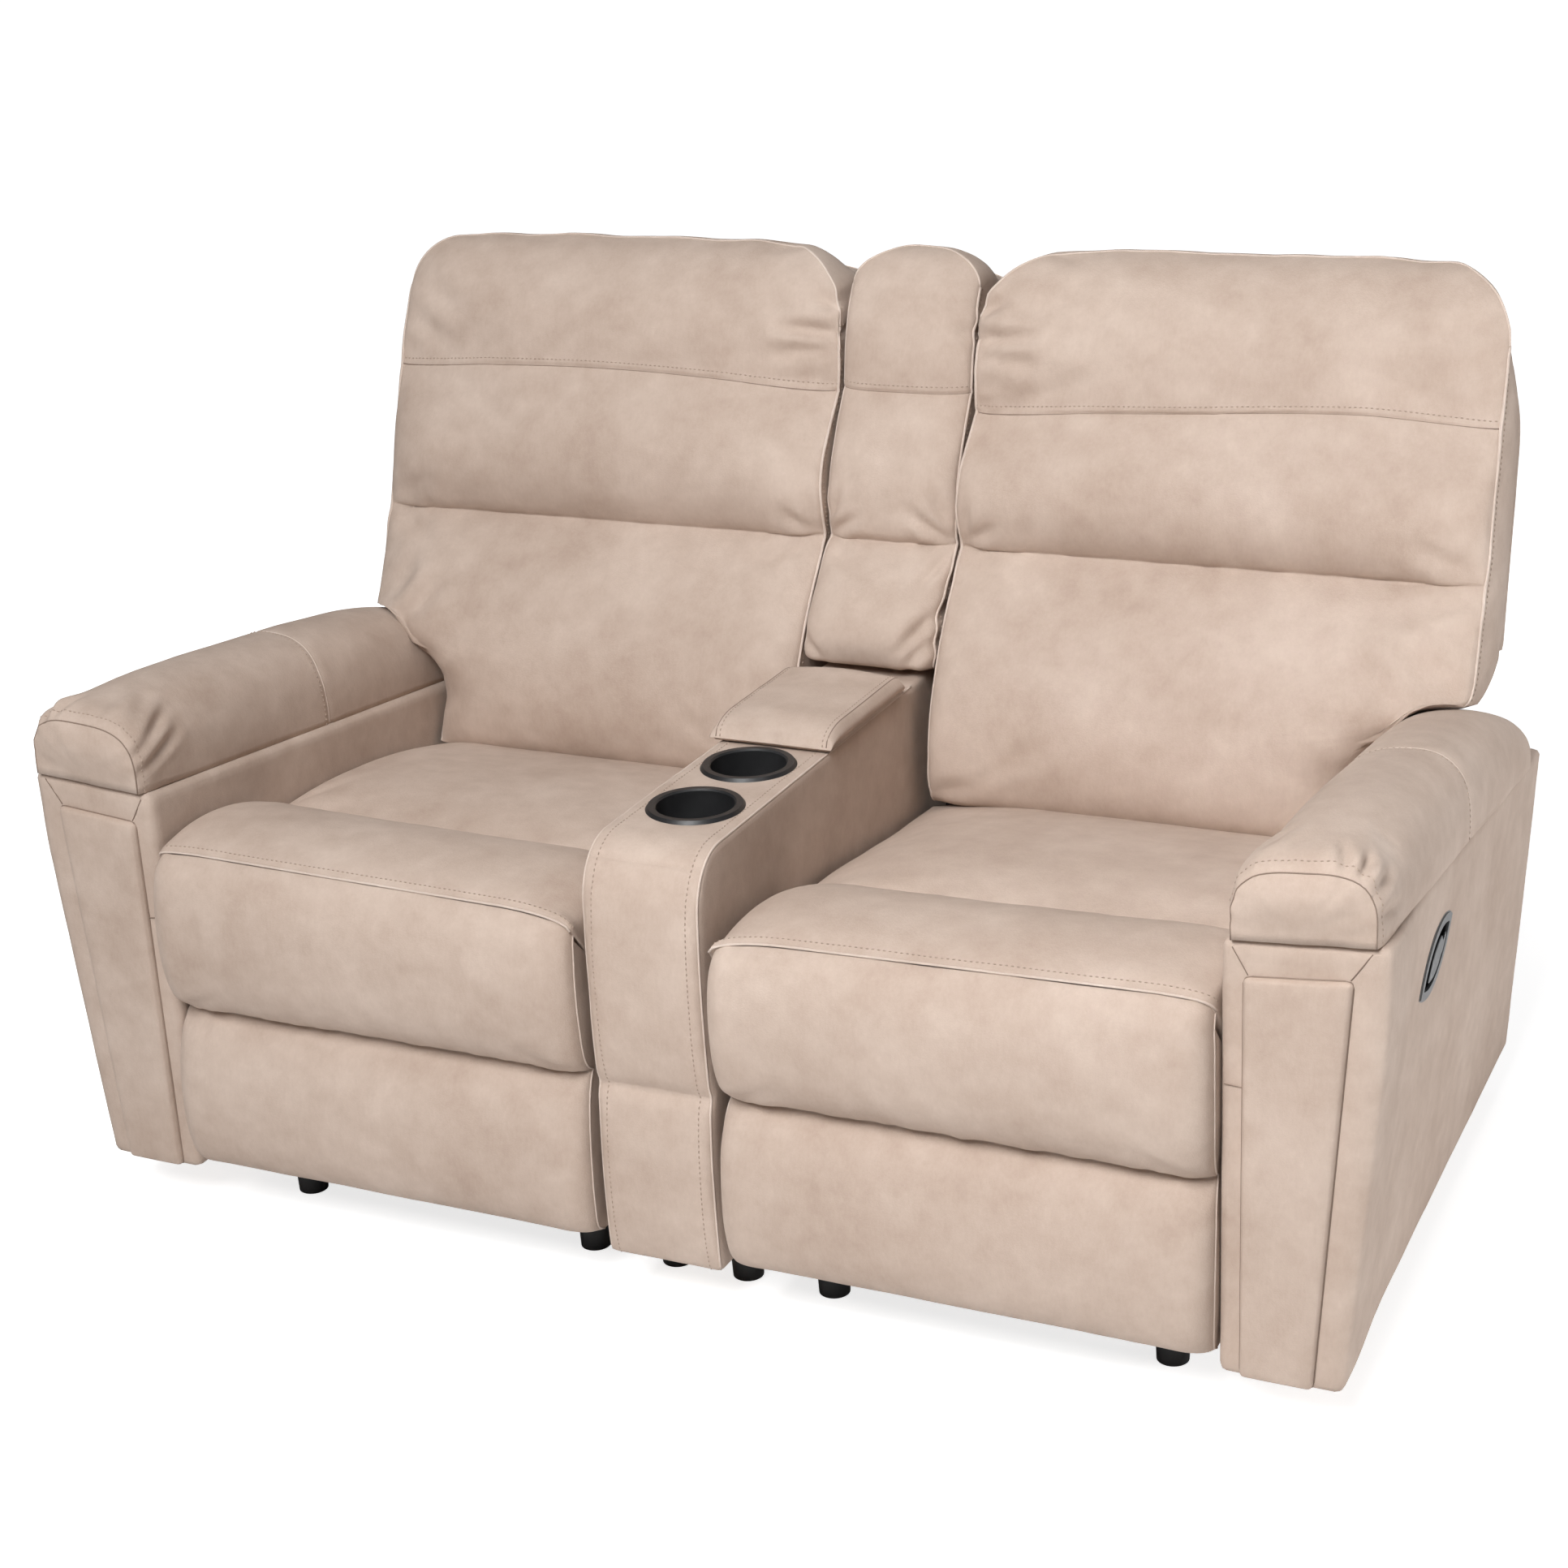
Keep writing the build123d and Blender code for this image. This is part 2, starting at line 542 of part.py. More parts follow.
def arm_pad():
    """Padded arm top: a crowned roll that falls and thins towards the rear."""
    inner = ARM_INNER_X + 8
    outer = ARM_TOP_X
    sections = []
    run = ARM_REAR_Y - FRONT_Y
    for y, tall, draw in (
        (FRONT_Y - 4, 78, 6), (FRONT_Y + 22, 96, 1), (FRONT_Y + 0.182 * run, 109, 0),
        (FRONT_Y + 0.52 * run, 107, 0), (ARM_REAR_Y - 0.241 * run, 84, 0),
        (ARM_REAR_Y - 0.088 * run, 48, 3), (ARM_REAR_Y - 16, 20, 8),
    ):
        a = (inner + draw, arm_top(inner + draw, y))
        b = (outer - draw, arm_top(outer - draw, y))
        crown = (a[1] + b[1]) / 2 + tall
        c = (outer - 22 - draw, b[1] + tall * 0.72)
        d = (inner + 20 + draw, a[1] + tall * 0.78)
        side = min(11.0, tall * 0.12)
        sections.append(Plane.XZ.offset(-y) * make_face([
            Line(a, b),
            bow(b, c, -side),
            ThreePointArc(c, ((c[0] + d[0]) / 2, crown), d),
            bow(d, a, -side),
        ]))
    return loft(sections)


def arm_front_panel():
    """Raised panel sewn into the front of an arm."""
    flare = (ARM_TOP_X - ARM_FOOT_X) / (ARM_TOP_Z + 12 - BODY_Z)
    low = BODY_Z + 3
    high = ARM_TOP_Z - 34
    outline = [
        (ARM_INNER_X + 27, low), (ARM_FOOT_X - 27, low), (ARM_FOOT_X - 27 + flare * (high - low), high + 5),
        (ARM_INNER_X + 27, high - 5),
    ]
    slab = extrude(Plane.XZ.offset(-FRONT_Y) * make_face(Polyline(*outline, close=True)), 6, dir=(0, -1, 0))
    return chamfer(slab.faces().sort_by(Axis.Y)[0].edges(), 3)


def handle_bezel():
    """Almond-shaped bezel and finger cup of the release handle, with holes for the paddle's pins."""
    ring = almond(0, 0, 1.6) + almond(-1.4, 1.6, 3) - almond(-11, -1, 4)
    cup = almond(-8, -34, 0) - almond(-11, -31.5, 1)
    pin = Pos(PADDLE_PIN, 0, -8) * Rot(90, 0, 0) * Cylinder(2.2 + RUN, 120)
    return handle_plane() * (ring + cup - pin)


def handle_paddle():
    """Pull paddle of the release handle, with its two pivot pins."""
    plate = almond(-14, -4, 1)
    keep = Pos(PADDLE_PIN / 2 - 4, 0, -1) * Box(PADDLE_PIN + 28, 80, 20)
    reach = almond_half(-11, PADDLE_PIN)
    barrel = Pos(PADDLE_PIN, 0, -8) * Rot(90, 0, 0) * Cylinder(4.5, 2 * reach - 8)
    pins = Pos(PADDLE_PIN, 0, -8) * Rot(90, 0, 0) * Cylinder(2.2, 2 * reach + 4)
    rib = Pos(PADDLE_PIN / 2, 0, -6) * Box(PADDLE_PIN, 5, 6)
    return handle_plane() * ((plate & keep) + barrel + pins + rib)


def feet():
    """Turned plastic feet under the two bases and the console."""
    pieces = []
    for y in (FOOT_FRONT_Y, FOOT_REAR_Y):
        for side in (-1, 1):
            for end in (-1, 1):
                x = side * SEAT_MID + end * SEAT_FOOT_X
                pieces.append(Pos(x, y, RAIL_LOW_Z / 2) * Cone(FOOT_R - 3, FOOT_R, RAIL_LOW_Z))
    for y in (FOOT_FRONT_Y, CONSOLE_REAR_Y - 80):
        for x in (-CONSOLE_FOOT_X, CONSOLE_FOOT_X):
            pieces.append(Pos(x, y, BODY_Z / 2) * Cone(FOOT_R - 3, FOOT_R, BODY_Z))
    return group(pieces)


def rear_aprons():
    """Covered boards that close the rear below the seat backs."""
    y0 = ARM_REAR_Y - 17
    return group([
        box(side * (CONSOLE_HALF + ARM_INNER_X) / 2 - (ARM_INNER_X - CONSOLE_HALF) / 2,
            side * (CONSOLE_HALF + ARM_INNER_X) / 2 + (ARM_INNER_X - CONSOLE_HALF) / 2,
            y0, y0 + 12, RAIL_LOW_Z + 2, BACK_FOOT_Z + 18)
        for side in (-1, 1)
    ])


COVER_R = 60.0                 # roll of the console's front upper edge
COVER_T = 15.0                 # thickness of the console's cover
CONSOLE_FRONT_Y = FRONT_Y - 1


def console_cover():
    """Console front and top in one wrapped piece, with openings for the cup holders and the bin."""
    turn = (CONSOLE_FRONT_Y + COVER_R, DECK_Z - COVER_R)
    s = math.sqrt(0.5)
    inner_r = COVER_R - COVER_T
    rear = CONSOLE_FRONT_Y + COVER_T
    end = LID_REAR_Y + 200
    tuck = (CONSOLE_FRONT_Y + 5, TUCK_Z - 3)
    low = (CONSOLE_FRONT_Y + 4, BODY_Z + 3)
    shell = extrude(section(-CONSOLE_HALF, [
        bow(low, tuck, 15),
        bow(tuck, (CONSOLE_FRONT_Y, turn[1]), 13),
        ThreePointArc((CONSOLE_FRONT_Y, turn[1]), (turn[0] - s * COVER_R, turn[1] + s * COVER_R), (turn[0], DECK_Z)),
        Line((turn[0], DECK_Z), (end, DECK_Z)),
        Line((end, DECK_Z), (end, DECK_Z - COVER_T)),
        Line((end, DECK_Z - COVER_T), (turn[0], DECK_Z - COVER_T)),
        ThreePointArc((turn[0], DECK_Z - COVER_T), (turn[0] - s * inner_r, turn[1] + s * inner_r), (rear, turn[1])),
        Line((rear, turn[1]), (rear, low[1])),
        Line((rear, low[1]), low),
    ]), 2 * CONSOLE_HALF, dir=(1, 0, 0))
    for y in (CUP_FRONT_Y, CUP_REAR_Y):
        shell -= Pos(0, y, DECK_Z) * Cylinder(CUP_R + 2.2, 60)
    return shell - box(-BIN_HALF, BIN_HALF, LID_FRONT_Y + 12, LID_REAR_Y - 19, DECK_Z - 30, DECK_Z + 10)


def console_sides():
    """Upholstered side panels of the console."""
    turn = (CONSOLE_FRONT_Y + COVER_R, DECK_Z - COVER_R)
    s = math.sqrt(0.5) * (COVER_R - COVER_T)
    rear = CONSOLE_FRONT_Y + COVER_T
    outline = [
        Line((rear, BODY_Z), (rear, turn[1])),
        ThreePointArc((rear, turn[1]), (turn[0] - s, turn[1] + s), (turn[0], DECK_Z - COVER_T)),
        Line((turn[0], DECK_Z - COVER_T), (CONSOLE_REAR_Y, DECK_Z - COVER_T)),
        Line((CONSOLE_REAR_Y, DECK_Z - COVER_T), (CONSOLE_REAR_Y, BODY_Z)),
        Line((CONSOLE_REAR_Y, BODY_Z), (rear, BODY_Z)),
    ]
    side = extrude(section(CONSOLE_HALF - 14, outline), 14, dir=(1, 0, 0))
    return group([side, mirror(side, about=Plane.YZ)])


def console_frame():
    """Inner boards of the console: floor, rear board and a partition in front of the bin."""
    half = CONSOLE_HALF - 14
    front = CONSOLE_FRONT_Y + COVER_T
    wall = LID_FRONT_Y - 4
    return group([
        box(-half, half, front, CONSOLE_REAR_Y, BODY_Z, BODY_Z + 12),
        box(-half, half, CONSOLE_REAR_Y - 12, CONSOLE_REAR_Y, BODY_Z + 12, DECK_Z - COVER_T),
        box(-half, half, wall, wall + 12, BODY_Z + 12, DECK_Z - COVER_T),
    ])


def console_bin():
    """Storage bin under the lid."""
    y0 = LID_FRONT_Y + 12
    y1 = LID_REAR_Y - 19
    z0 = DECK_Z - BIN_DEPTH
    tub = box(-BIN_HALF, BIN_HALF, y0, y1, z0, DECK_Z)
    return tub - box(3 - BIN_HALF, BIN_HALF - 3, y0 + 3, y1 - 3, z0 + 3, DECK_Z + 5)


def cup_holder(y):
    """Cup holder: a tub with a bevelled ring that rests on the console."""
    profile = Polyline(
        (0, DECK_Z - CUP_DEPTH), (CUP_R + 2, DECK_Z - CUP_DEPTH), (CUP_R + 2, DECK_Z), (CUP_RING_R, DECK_Z),
        (CUP_RING_R - 3, DECK_Z + 4), (CUP_R + 2, DECK_Z + 4), (CUP_R, DECK_Z + 2),
        (CUP_R, DECK_Z - CUP_DEPTH + 2.5), (0, DECK_Z - CUP_DEPTH + 2.5), close=True,
    )
    return Pos(0, y, 0) * revolve(Plane.XZ * make_face(profile), Axis.Z)


def lid_board():
    """Board under the lid's padding."""
    return box(-CONSOLE_HALF, CONSOLE_HALF, LID_FRONT_Y, LID_REAR_Y, DECK_Z + 1.5, DECK_Z + 11.5)


def lid_pad():
    """Padded lid with a rounded nose that overhangs the board's front edge."""
    seat = DECK_Z + 11.5
    sections = []
    for share, full in ((-1, 0), (-0.88, 0.6), (0, 1), (0.88, 0.6), (1, 0)):
        drop = 13 * (1 - full)
        low = (LID_FRONT_Y, DECK_Z + 6)
        brow = (LID_FRONT_Y + 8, seat + 28 - drop)
        heel = (LID_REAR_Y - 40, seat + 28 - drop)
        tail = (LID_REAR_Y, seat + 6)
        sections.append(section((CONSOLE_HALF + 4) * share, [
            bow(low, brow, mixed(6, 13, full)),
            bow(brow, heel, mixed(1.5, 4, full)),
            bow(heel, tail, mixed(2, 5, full)),
            Line(tail, (LID_REAR_Y, seat)),
            Line((LID_REAR_Y, seat), (LID_FRONT_Y, seat)),
            Line((LID_FRONT_Y, seat), low),
        ]))
    return loft(sections)


def lid_hinge_fixed():
    """Hinge leaf on the console, with its two knuckles and the pin."""
    half = CONSOLE_HALF - 11
    leaf = box(-half, half, HINGE_Y, HINGE_Y + 22, DECK_Z, DECK_Z + 1.5)
    leaf -= box(-30, 30, HINGE_Y - 5, HINGE_Y + 5, DECK_Z - 5, DECK_Z + 5)
    for x0, x1 in ((-half, -30), (30, half)):
        leaf += rod(HINGE_Y, HINGE_Z, 4.2, x0, x1)
    return leaf + rod(HINGE_Y, HINGE_Z, 2, -30, 30)


def lid_hinge_moving():
    """Hinge leaf under the lid board, with the middle knuckle."""
    leaf = box(-29.5, 29.5, LID_REAR_Y - 20, HINGE_Y - 1, DECK_Z + 0.4, DECK_Z + 1.5)
    knuckle = rod(HINGE_Y, HINGE_Z, 4.2, -29.5, 29.5)
    return leaf + knuckle - rod(HINGE_Y, HINGE_Z, 2 + RUN, -60, 60)


CONSOLE_BACK_HALF = BACK_INNER_X - 8
CONSOLE_BACK_Z = DECK_Z + 18   # underside of the console's back cushion
POST_OUT = CONSOLE_HALF - 14   # the posts are bolted to the console's side panels
POST_IN = POST_OUT - 25


def console_back_cushion():
    """Narrow fixed back cushion over the console, in line with the two seat backs."""
    foot_rise = (CONSOLE_BACK_Z - BACK_FOOT_Z) / math.cos(math.radians(BACK_TILT)) - 6
    sections = []
    for share, full in ((-1, 0), (-0.8, 0.6), (0, 1), (0.8, 0.6), (1, 0)):
        low = (LUMBAR_SEAM[0] - 112 + 14 * (1 - full), CONSOLE_BACK_Z + 6 * (1 - full))
        foot = on_back(BACK_PAN, foot_rise)
        heel = (mixed(low[0], foot[0], 0.3), mixed(low[1], foot[1], 0.3) + 1)
        sections.append(back_front(CONSOLE_BACK_HALF * share, full * 0.45, low, heel, foot, mixed(9, 24, full)))
    return loft(sections)


def console_back_cover():
    """Outside back of the console's back cushion, with openings for its two posts."""
    rim = 8.0
    half = CONSOLE_BACK_HALF - 2
    low = (CONSOLE_BACK_Z - BACK_FOOT_Z) / math.cos(math.radians(BACK_TILT))
    outline = [(-half, low), (half, low), (half, BACK_RISE), (-half, BACK_RISE)]
    inset = [
        (-half + rim, low + rim), (half - rim, low + rim), (half - rim, BACK_RISE - rim), (-half + rim, BACK_RISE - rim),
    ]
    slots = [
        box(min(a, b) - 1, max(a, b) + 1, -BACK_PAN - 1, -12, low - 5, low + rim + 5)
        for a, b in ((-POST_OUT, -POST_IN), (POST_IN, POST_OUT))
    ]
    return lean(pan(outline, inset, BACK_PAN, 12) - slots[0] - slots[1])


def console_back_frame():
    """Wooden posts and rails that hold the console's back cushion from inside the console."""
    top = BACK_RISE - FRAME_DROP
    pieces = [
        box(a, b, -BACK_PAN, -12, 12, top) for a, b in ((-POST_OUT, -POST_IN), (POST_IN, POST_OUT))
    ]
    waist = 0.6 * BACK_RISE
    for low, high in ((60, 110), (waist, waist + 40), (top - 48, top)):
        pieces.append(box(-POST_IN, POST_IN, -BACK_PAN, -12, low, high))
    return group([lean(p) for p in pieces])


SEAT_PIECES = {
    "seat_cushion": seat_cushion,
    "seat_frame": seat_frame,
    "seat_springs": seat_springs,
    "base_frame": base_frame,
    "side_plates": side_plates,
    "lower_links": lower_links,
    "torque_tube": torque_tube,
    "upper_links": upper_links,
    "guide_links": guide_links,
    "footrest_brackets": footrest_brackets,
    "footrest_board": footrest_board,
    "footrest_pad": footrest_pad,
    "back_cushion": back_cushion,
    "back_cover": back_cover,
    "back_frame": back_frame,
    "back_brackets": back_brackets,
}
ARM_PIECES = {
    "arm_body": arm_body,
    "arm_frame": arm_frame,
    "arm_pad": arm_pad,
    "arm_front_panel": arm_front_panel,
    "handle_bezel": handle_bezel,
    "handle_paddle": handle_paddle,
}

nodes = {
    "feet": feet(),
    "rear_aprons": rear_aprons(),
    "console_cover": console_cover(),
    "console_sides": console_sides(),
    "console_frame": console_frame(),
    "console_bin": console_bin(),
    "front_cup_holder": cup_holder(CUP_FRONT_Y),
    "rear_cup_holder": cup_holder(CUP_REAR_Y),
    "lid_board": lid_board(),
    "lid_pad": lid_pad(),
    "lid_hinge_fixed": lid_hinge_fixed(),
    "lid_hinge_moving": lid_hinge_moving(),
    "console_back_cushion": console_back_cushion(),
    "console_back_cover": console_back_cover(),
    "console_back_frame": console_back_frame(),
}
for name, make in SEAT_PIECES.items():
    piece = Pos(SEAT_MID, 0, 0) * make()
    nodes["right_" + name] = piece
    nodes["left_" + name] = mirror(piece, about=Plane.YZ)
for name, make in ARM_PIECES.items():
    piece = make()
    nodes["right_" + name] = piece
    nodes["left_" + name] = mirror(piece, about=Plane.YZ)

for name, piece in nodes.items():
    export_step(piece, f"parts/{name}.step")
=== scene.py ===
"""A home theater sofa: two reclining seats with a console between them, in brushed beige cloth."""

from __future__ import annotations

import json
import logging
import math
from abc import ABC, abstractmethod
from collections.abc import Callable, Iterable, Sequence
from dataclasses import dataclass, field
from enum import Enum

import bpy
from mathutils import Matrix, Vector, noise

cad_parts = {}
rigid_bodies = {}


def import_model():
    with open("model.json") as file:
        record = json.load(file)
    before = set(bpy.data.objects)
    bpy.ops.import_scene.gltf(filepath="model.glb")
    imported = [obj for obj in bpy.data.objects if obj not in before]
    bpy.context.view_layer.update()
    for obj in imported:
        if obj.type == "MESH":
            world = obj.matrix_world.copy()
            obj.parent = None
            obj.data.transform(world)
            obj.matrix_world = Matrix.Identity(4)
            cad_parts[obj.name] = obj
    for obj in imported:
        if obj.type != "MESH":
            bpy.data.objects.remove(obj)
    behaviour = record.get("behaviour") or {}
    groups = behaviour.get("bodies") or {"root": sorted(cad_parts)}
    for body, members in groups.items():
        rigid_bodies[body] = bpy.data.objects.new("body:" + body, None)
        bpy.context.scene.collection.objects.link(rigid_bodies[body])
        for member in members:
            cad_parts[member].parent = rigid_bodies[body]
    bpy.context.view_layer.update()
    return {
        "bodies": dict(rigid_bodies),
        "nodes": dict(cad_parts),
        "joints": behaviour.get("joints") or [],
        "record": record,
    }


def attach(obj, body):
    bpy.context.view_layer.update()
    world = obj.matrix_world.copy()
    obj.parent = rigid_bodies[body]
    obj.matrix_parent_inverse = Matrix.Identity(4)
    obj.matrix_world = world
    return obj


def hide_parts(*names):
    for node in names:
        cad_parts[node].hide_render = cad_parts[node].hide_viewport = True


LOG = logging.getLogger("sofa")
MM = 0.001

Point = tuple[float, float, float]
Colour = tuple[float, float, float, float]
Grid = tuple[list[float], list[float], list[float]]
Trail = Sequence[tuple[Vector, Vector]]

# The arm's box under its pad, in millimetres.
ARM_INNER = 640.0
ARM_WIDE = 156.0
ARM_FRONT = -455.0
ARM_HIGH = 556.0
ARM_RISE = 12.0  # rise of the top from its inner to its outer edge
ARM_SLOPE = 0.112  # fall of the top for each millimetre towards the rear
ARM_FLARE = 31.0  # how far the outer face leans out
ARM_TALL = 501.0  # the height over which it does so


def mixed(low: float, high: float, share: float) -> float:
    """A value between low and high."""
    return low + (high - low) * share


def ease(share: float) -> float:
    """A smooth step from 0 to 1."""
    t = min(1.0, max(0.0, share))
    return t * t * (3.0 - 2.0 * t)


def quarter(share: float) -> float:
    """Height of a quarter round, from 0 at its foot to 1 at its crown."""
    t = min(1.0, max(0.0, share))
    return math.sqrt(1.0 - (1.0 - t) ** 2)


def ticks(stops: Sequence[float], step: float, crowd: float = 0.6) -> list[float]:
    """Places along a line, closer together towards each stop.

    Args:
        stops: Places that must be on the line, in order.
        step: Usual distance between two places.
        crowd: How much the places gather at the stops, from 0 to 1.

    Returns:
        The places in order, with every stop among them.
    """
    places = [stops[0]]
    for low, high in zip(stops, stops[1:]):
        count = max(2, math.ceil(abs(high - low) / step))
        for i in range(1, count):
            t = i / count
            places.append(mixed(low, high, mixed(t, 0.5 - 0.5 * math.cos(math.pi * t), crowd)))
        places.append(high)
    return places


class Side(Enum):
    """The two ends of the sofa, as seen from the front."""

    LEFT = -1
    RIGHT = 1

    @property
    def tag(self) -> str:
        """The word that starts the names of this side's pieces."""
        return self.name.lower()

    def node(self, name: str) -> str:
        """Name of a part on this side."""
        return f"{self.tag}_{name}"


class Wire:
    """A shader socket's value. Arithmetic on it adds Math nodes."""

    def __init__(self, bench: Bench, socket: bpy.types.NodeSocket) -> None:
        """Wraps an output socket of the bench's tree."""
        self.bench = bench
        self.socket = socket

    def _math(self, operation: str, first: Feed, second: Feed) -> Wire:
        """Result of a Math node on two values."""
        return self.bench.node("ShaderNodeMath", {"operation": operation}, {0: first, 1: second})

    def __add__(self, other: Feed) -> Wire:
        """Sum."""
        return self._math("ADD", self, other)

    def __radd__(self, other: Feed) -> Wire:
        """Sum, with the plain number first."""
        return self._math("ADD", other, self)

    def __sub__(self, other: Feed) -> Wire:
        """Difference."""
        return self._math("SUBTRACT", self, other)

    def __rsub__(self, other: Feed) -> Wire:
        """Difference, with the plain number first."""
        return self._math("SUBTRACT", other, self)

    def __mul__(self, other: Feed) -> Wire:
        """Product."""
        return self._math("MULTIPLY", self, other)

    def __rmul__(self, other: Feed) -> Wire:
        """Product, with the plain number first."""
        return self._math("MULTIPLY", other, self)


Feed = Wire | float | Sequence[float]


class Bench:
    """A node tree, and the one place where its nodes are made."""

    def __init__(self, tree: bpy.types.NodeTree) -> None:
        """Takes over a tree and empties it."""
        self.tree = tree
        self.tree.nodes.clear()

    def node(
        self,
        kind: str,
        settings: dict[str, object] | None = None,
        sockets: dict[int | str, Feed] | None = None,
        output: int | str = 0,
    ) -> Wire | None:
        """Adds a node.

        Args:
            kind: Type of the node.
            settings: The node's own properties, set before its sockets.
            sockets: Values or wires for its inputs, by place or name.
            output: The output that is wanted, by place or name.

        Returns:
            The wanted output, or None for a node without outputs.
        """
        made = self.tree.nodes.new(kind)
        for name, value in (settings or {}).items():
            setattr(made, name, value)
        for name, value in (sockets or {}).items():
            socket = made.inputs[name]
            if isinstance(value, Wire):
                self.tree.links.new(value.socket, socket)
            else:
                socket.default_value = value
        return Wire(self, made.outputs[output]) if len(made.outputs) else None

    def place(self) -> Wire:
        """Coordinates in the object's own frame, in metres."""
        return self.node("ShaderNodeTexCoord", output="Object")

    def stretched(self, vector: Wire, scale: Point) -> Wire:
        """Coordinates scaled along each axis."""
        return self.node("ShaderNodeVectorMath", {"operation": "MULTIPLY"}, {0: vector, 1: scale})

    def cloud(self, vector: Wire, scale: float, detail: float, roughness: float = 0.55) -> Wire:
        """Soft noise from 0 to 1."""
        return self.node(
            "ShaderNodeTexNoise",
            None,
            {"Vector": vector, "Scale": scale, "Detail": detail, "Roughness": roughness},
        )

    def spread(self, value: Wire, low: float, high: float) -> Wire:
        """A value stretched so that low becomes 0 and high becomes 1, kept between them."""
        return self.node(
            "ShaderNodeMapRange",
            {"clamp": True},
            {"Value": value, "From Min": low, "From Max": high, "To Min": 0.0, "To Max": 1.0},
        )

    def blend(self, share: Feed, first: Feed, second: Feed) -> Wire:
        """A colour between two colours."""
        return self.node("ShaderNodeMix", {"data_type": "RGBA"}, {0: share, 6: first, 7: second}, output=2)

    def bump(self, height: Wire, depth: float, strength: float = 1.0) -> Wire:
        """A normal that shows a height from 0 to 1 as relief of that depth in metres."""
        return self.node("ShaderNodeBump", None, {"Height": height, "Distance": depth, "Strength": strength})

    def surface(self, sockets: dict[int | str, Feed]) -> None:
        """Ends a material with a Principled shader."""
        shader = self.node("ShaderNodeBsdfPrincipled", None, sockets)
        self.node("ShaderNodeOutputMaterial", None, {"Surface": shader})


@dataclass(frozen=True)
class Finish(ABC):
    """A finish that can be put on a piece."""

    name: str

    def material(self) -> bpy.types.Material:
        """Makes the material with its node tree.

        Returns:
            The material.
        """
        made = bpy.data.materials.new(self.name)
        made.use_nodes = True
        self.mix(Bench(made.node_tree))
        return made

    @abstractmethod
    def mix(self, bench: Bench) -> None:
        """Adds the finish's nodes."""


@dataclass(frozen=True)
class Suede(Finish):
    """Brushed suede-look cloth with soft cloudy patches and a short nap."""

    deep: Colour = (0.43, 0.325, 0.262, 1.0)
    pale: Colour = (0.59, 0.478, 0.405, 1.0)
    sheen: float = 0.10

    def mix(self, bench: Bench) -> None:
        """Adds the cloth's nodes.

        Args:
            bench: The material's node tree.
        """
        place = bench.place()
        clouds = bench.cloud(place, 6.5, 3.0)
        patches = bench.cloud(place, 31.0, 4.0, 0.62)
        brushed = bench.cloud(bench.stretched(place, (260.0, 260.0, 90.0)), 1.0, 2.0)
        grain = bench.cloud(place, 1150.0, 2.0)
        tone = clouds * 0.44 + patches * 0.36 + brushed * 0.10 + grain * 0.10
        colour = bench.blend(bench.spread(tone, 0.34, 0.66), self.deep, self.pale)
        pebble = bench.node("ShaderNodeTexVoronoi", {"feature": "F1"}, {"Vector": place, "Scale": 420.0})
        relief = grain * 0.55 + pebble * 0.35 + brushed * 0.25
        bench.surface({
            "Base Color": colour,
            "Roughness": patches * 0.16 + 0.70,
            "Normal": bench.bump(relief, 0.0007, 0.55),
            "Sheen Weight": self.sheen,
            "Sheen Roughness": 0.45,
            "Sheen Tint": (0.95, 0.88, 0.82, 1.0),
            "Specular IOR Level": 0.28,
        })


@dataclass(frozen=True)
class Thread(Finish):
    """Sewing thread, twisted, darker than the cloth."""

    colour: Colour = (0.36, 0.275, 0.22, 1.0)

    def mix(self, bench: Bench) -> None:
        """Adds the thread's nodes.

        Args:
            bench: The material's node tree.
        """
        twist = bench.cloud(bench.stretched(bench.place(), (900.0, 900.0, 900.0)), 1.0, 2.0)
        lit = tuple(min(1.0, c * 1.25) for c in self.colour[:3]) + (1.0,)
        bench.surface({
            "Base Color": bench.blend(twist, self.colour, lit),
            "Roughness": 0.62,
            "Normal": bench.bump(twist, 0.0003, 0.6),
        })


@dataclass(frozen=True)
class Moulded(Finish):
    """Moulded plastic with a fine spark-eroded grain and a little dust."""

    colour: Colour = (0.014, 0.014, 0.015, 1.0)
    roughness: float = 0.42

    def mix(self, bench: Bench) -> None:
        """Adds the plastic's nodes.

        Args:
            bench: The material's node tree.
        """
        place = bench.place()
        grain = bench.cloud(place, 900.0, 2.0)
        dust = bench.spread(bench.cloud(place, 18.0, 5.0), 0.45, 0.8)
        lit = tuple(c * 1.35 + 0.006 for c in self.colour[:3]) + (1.0,)
        bench.surface({
            "Base Color": bench.blend(dust, self.colour, lit),
            "Roughness": dust * 0.14 + self.roughness,
            "Normal": bench.bump(grain, 0.0002, 0.35),
        })


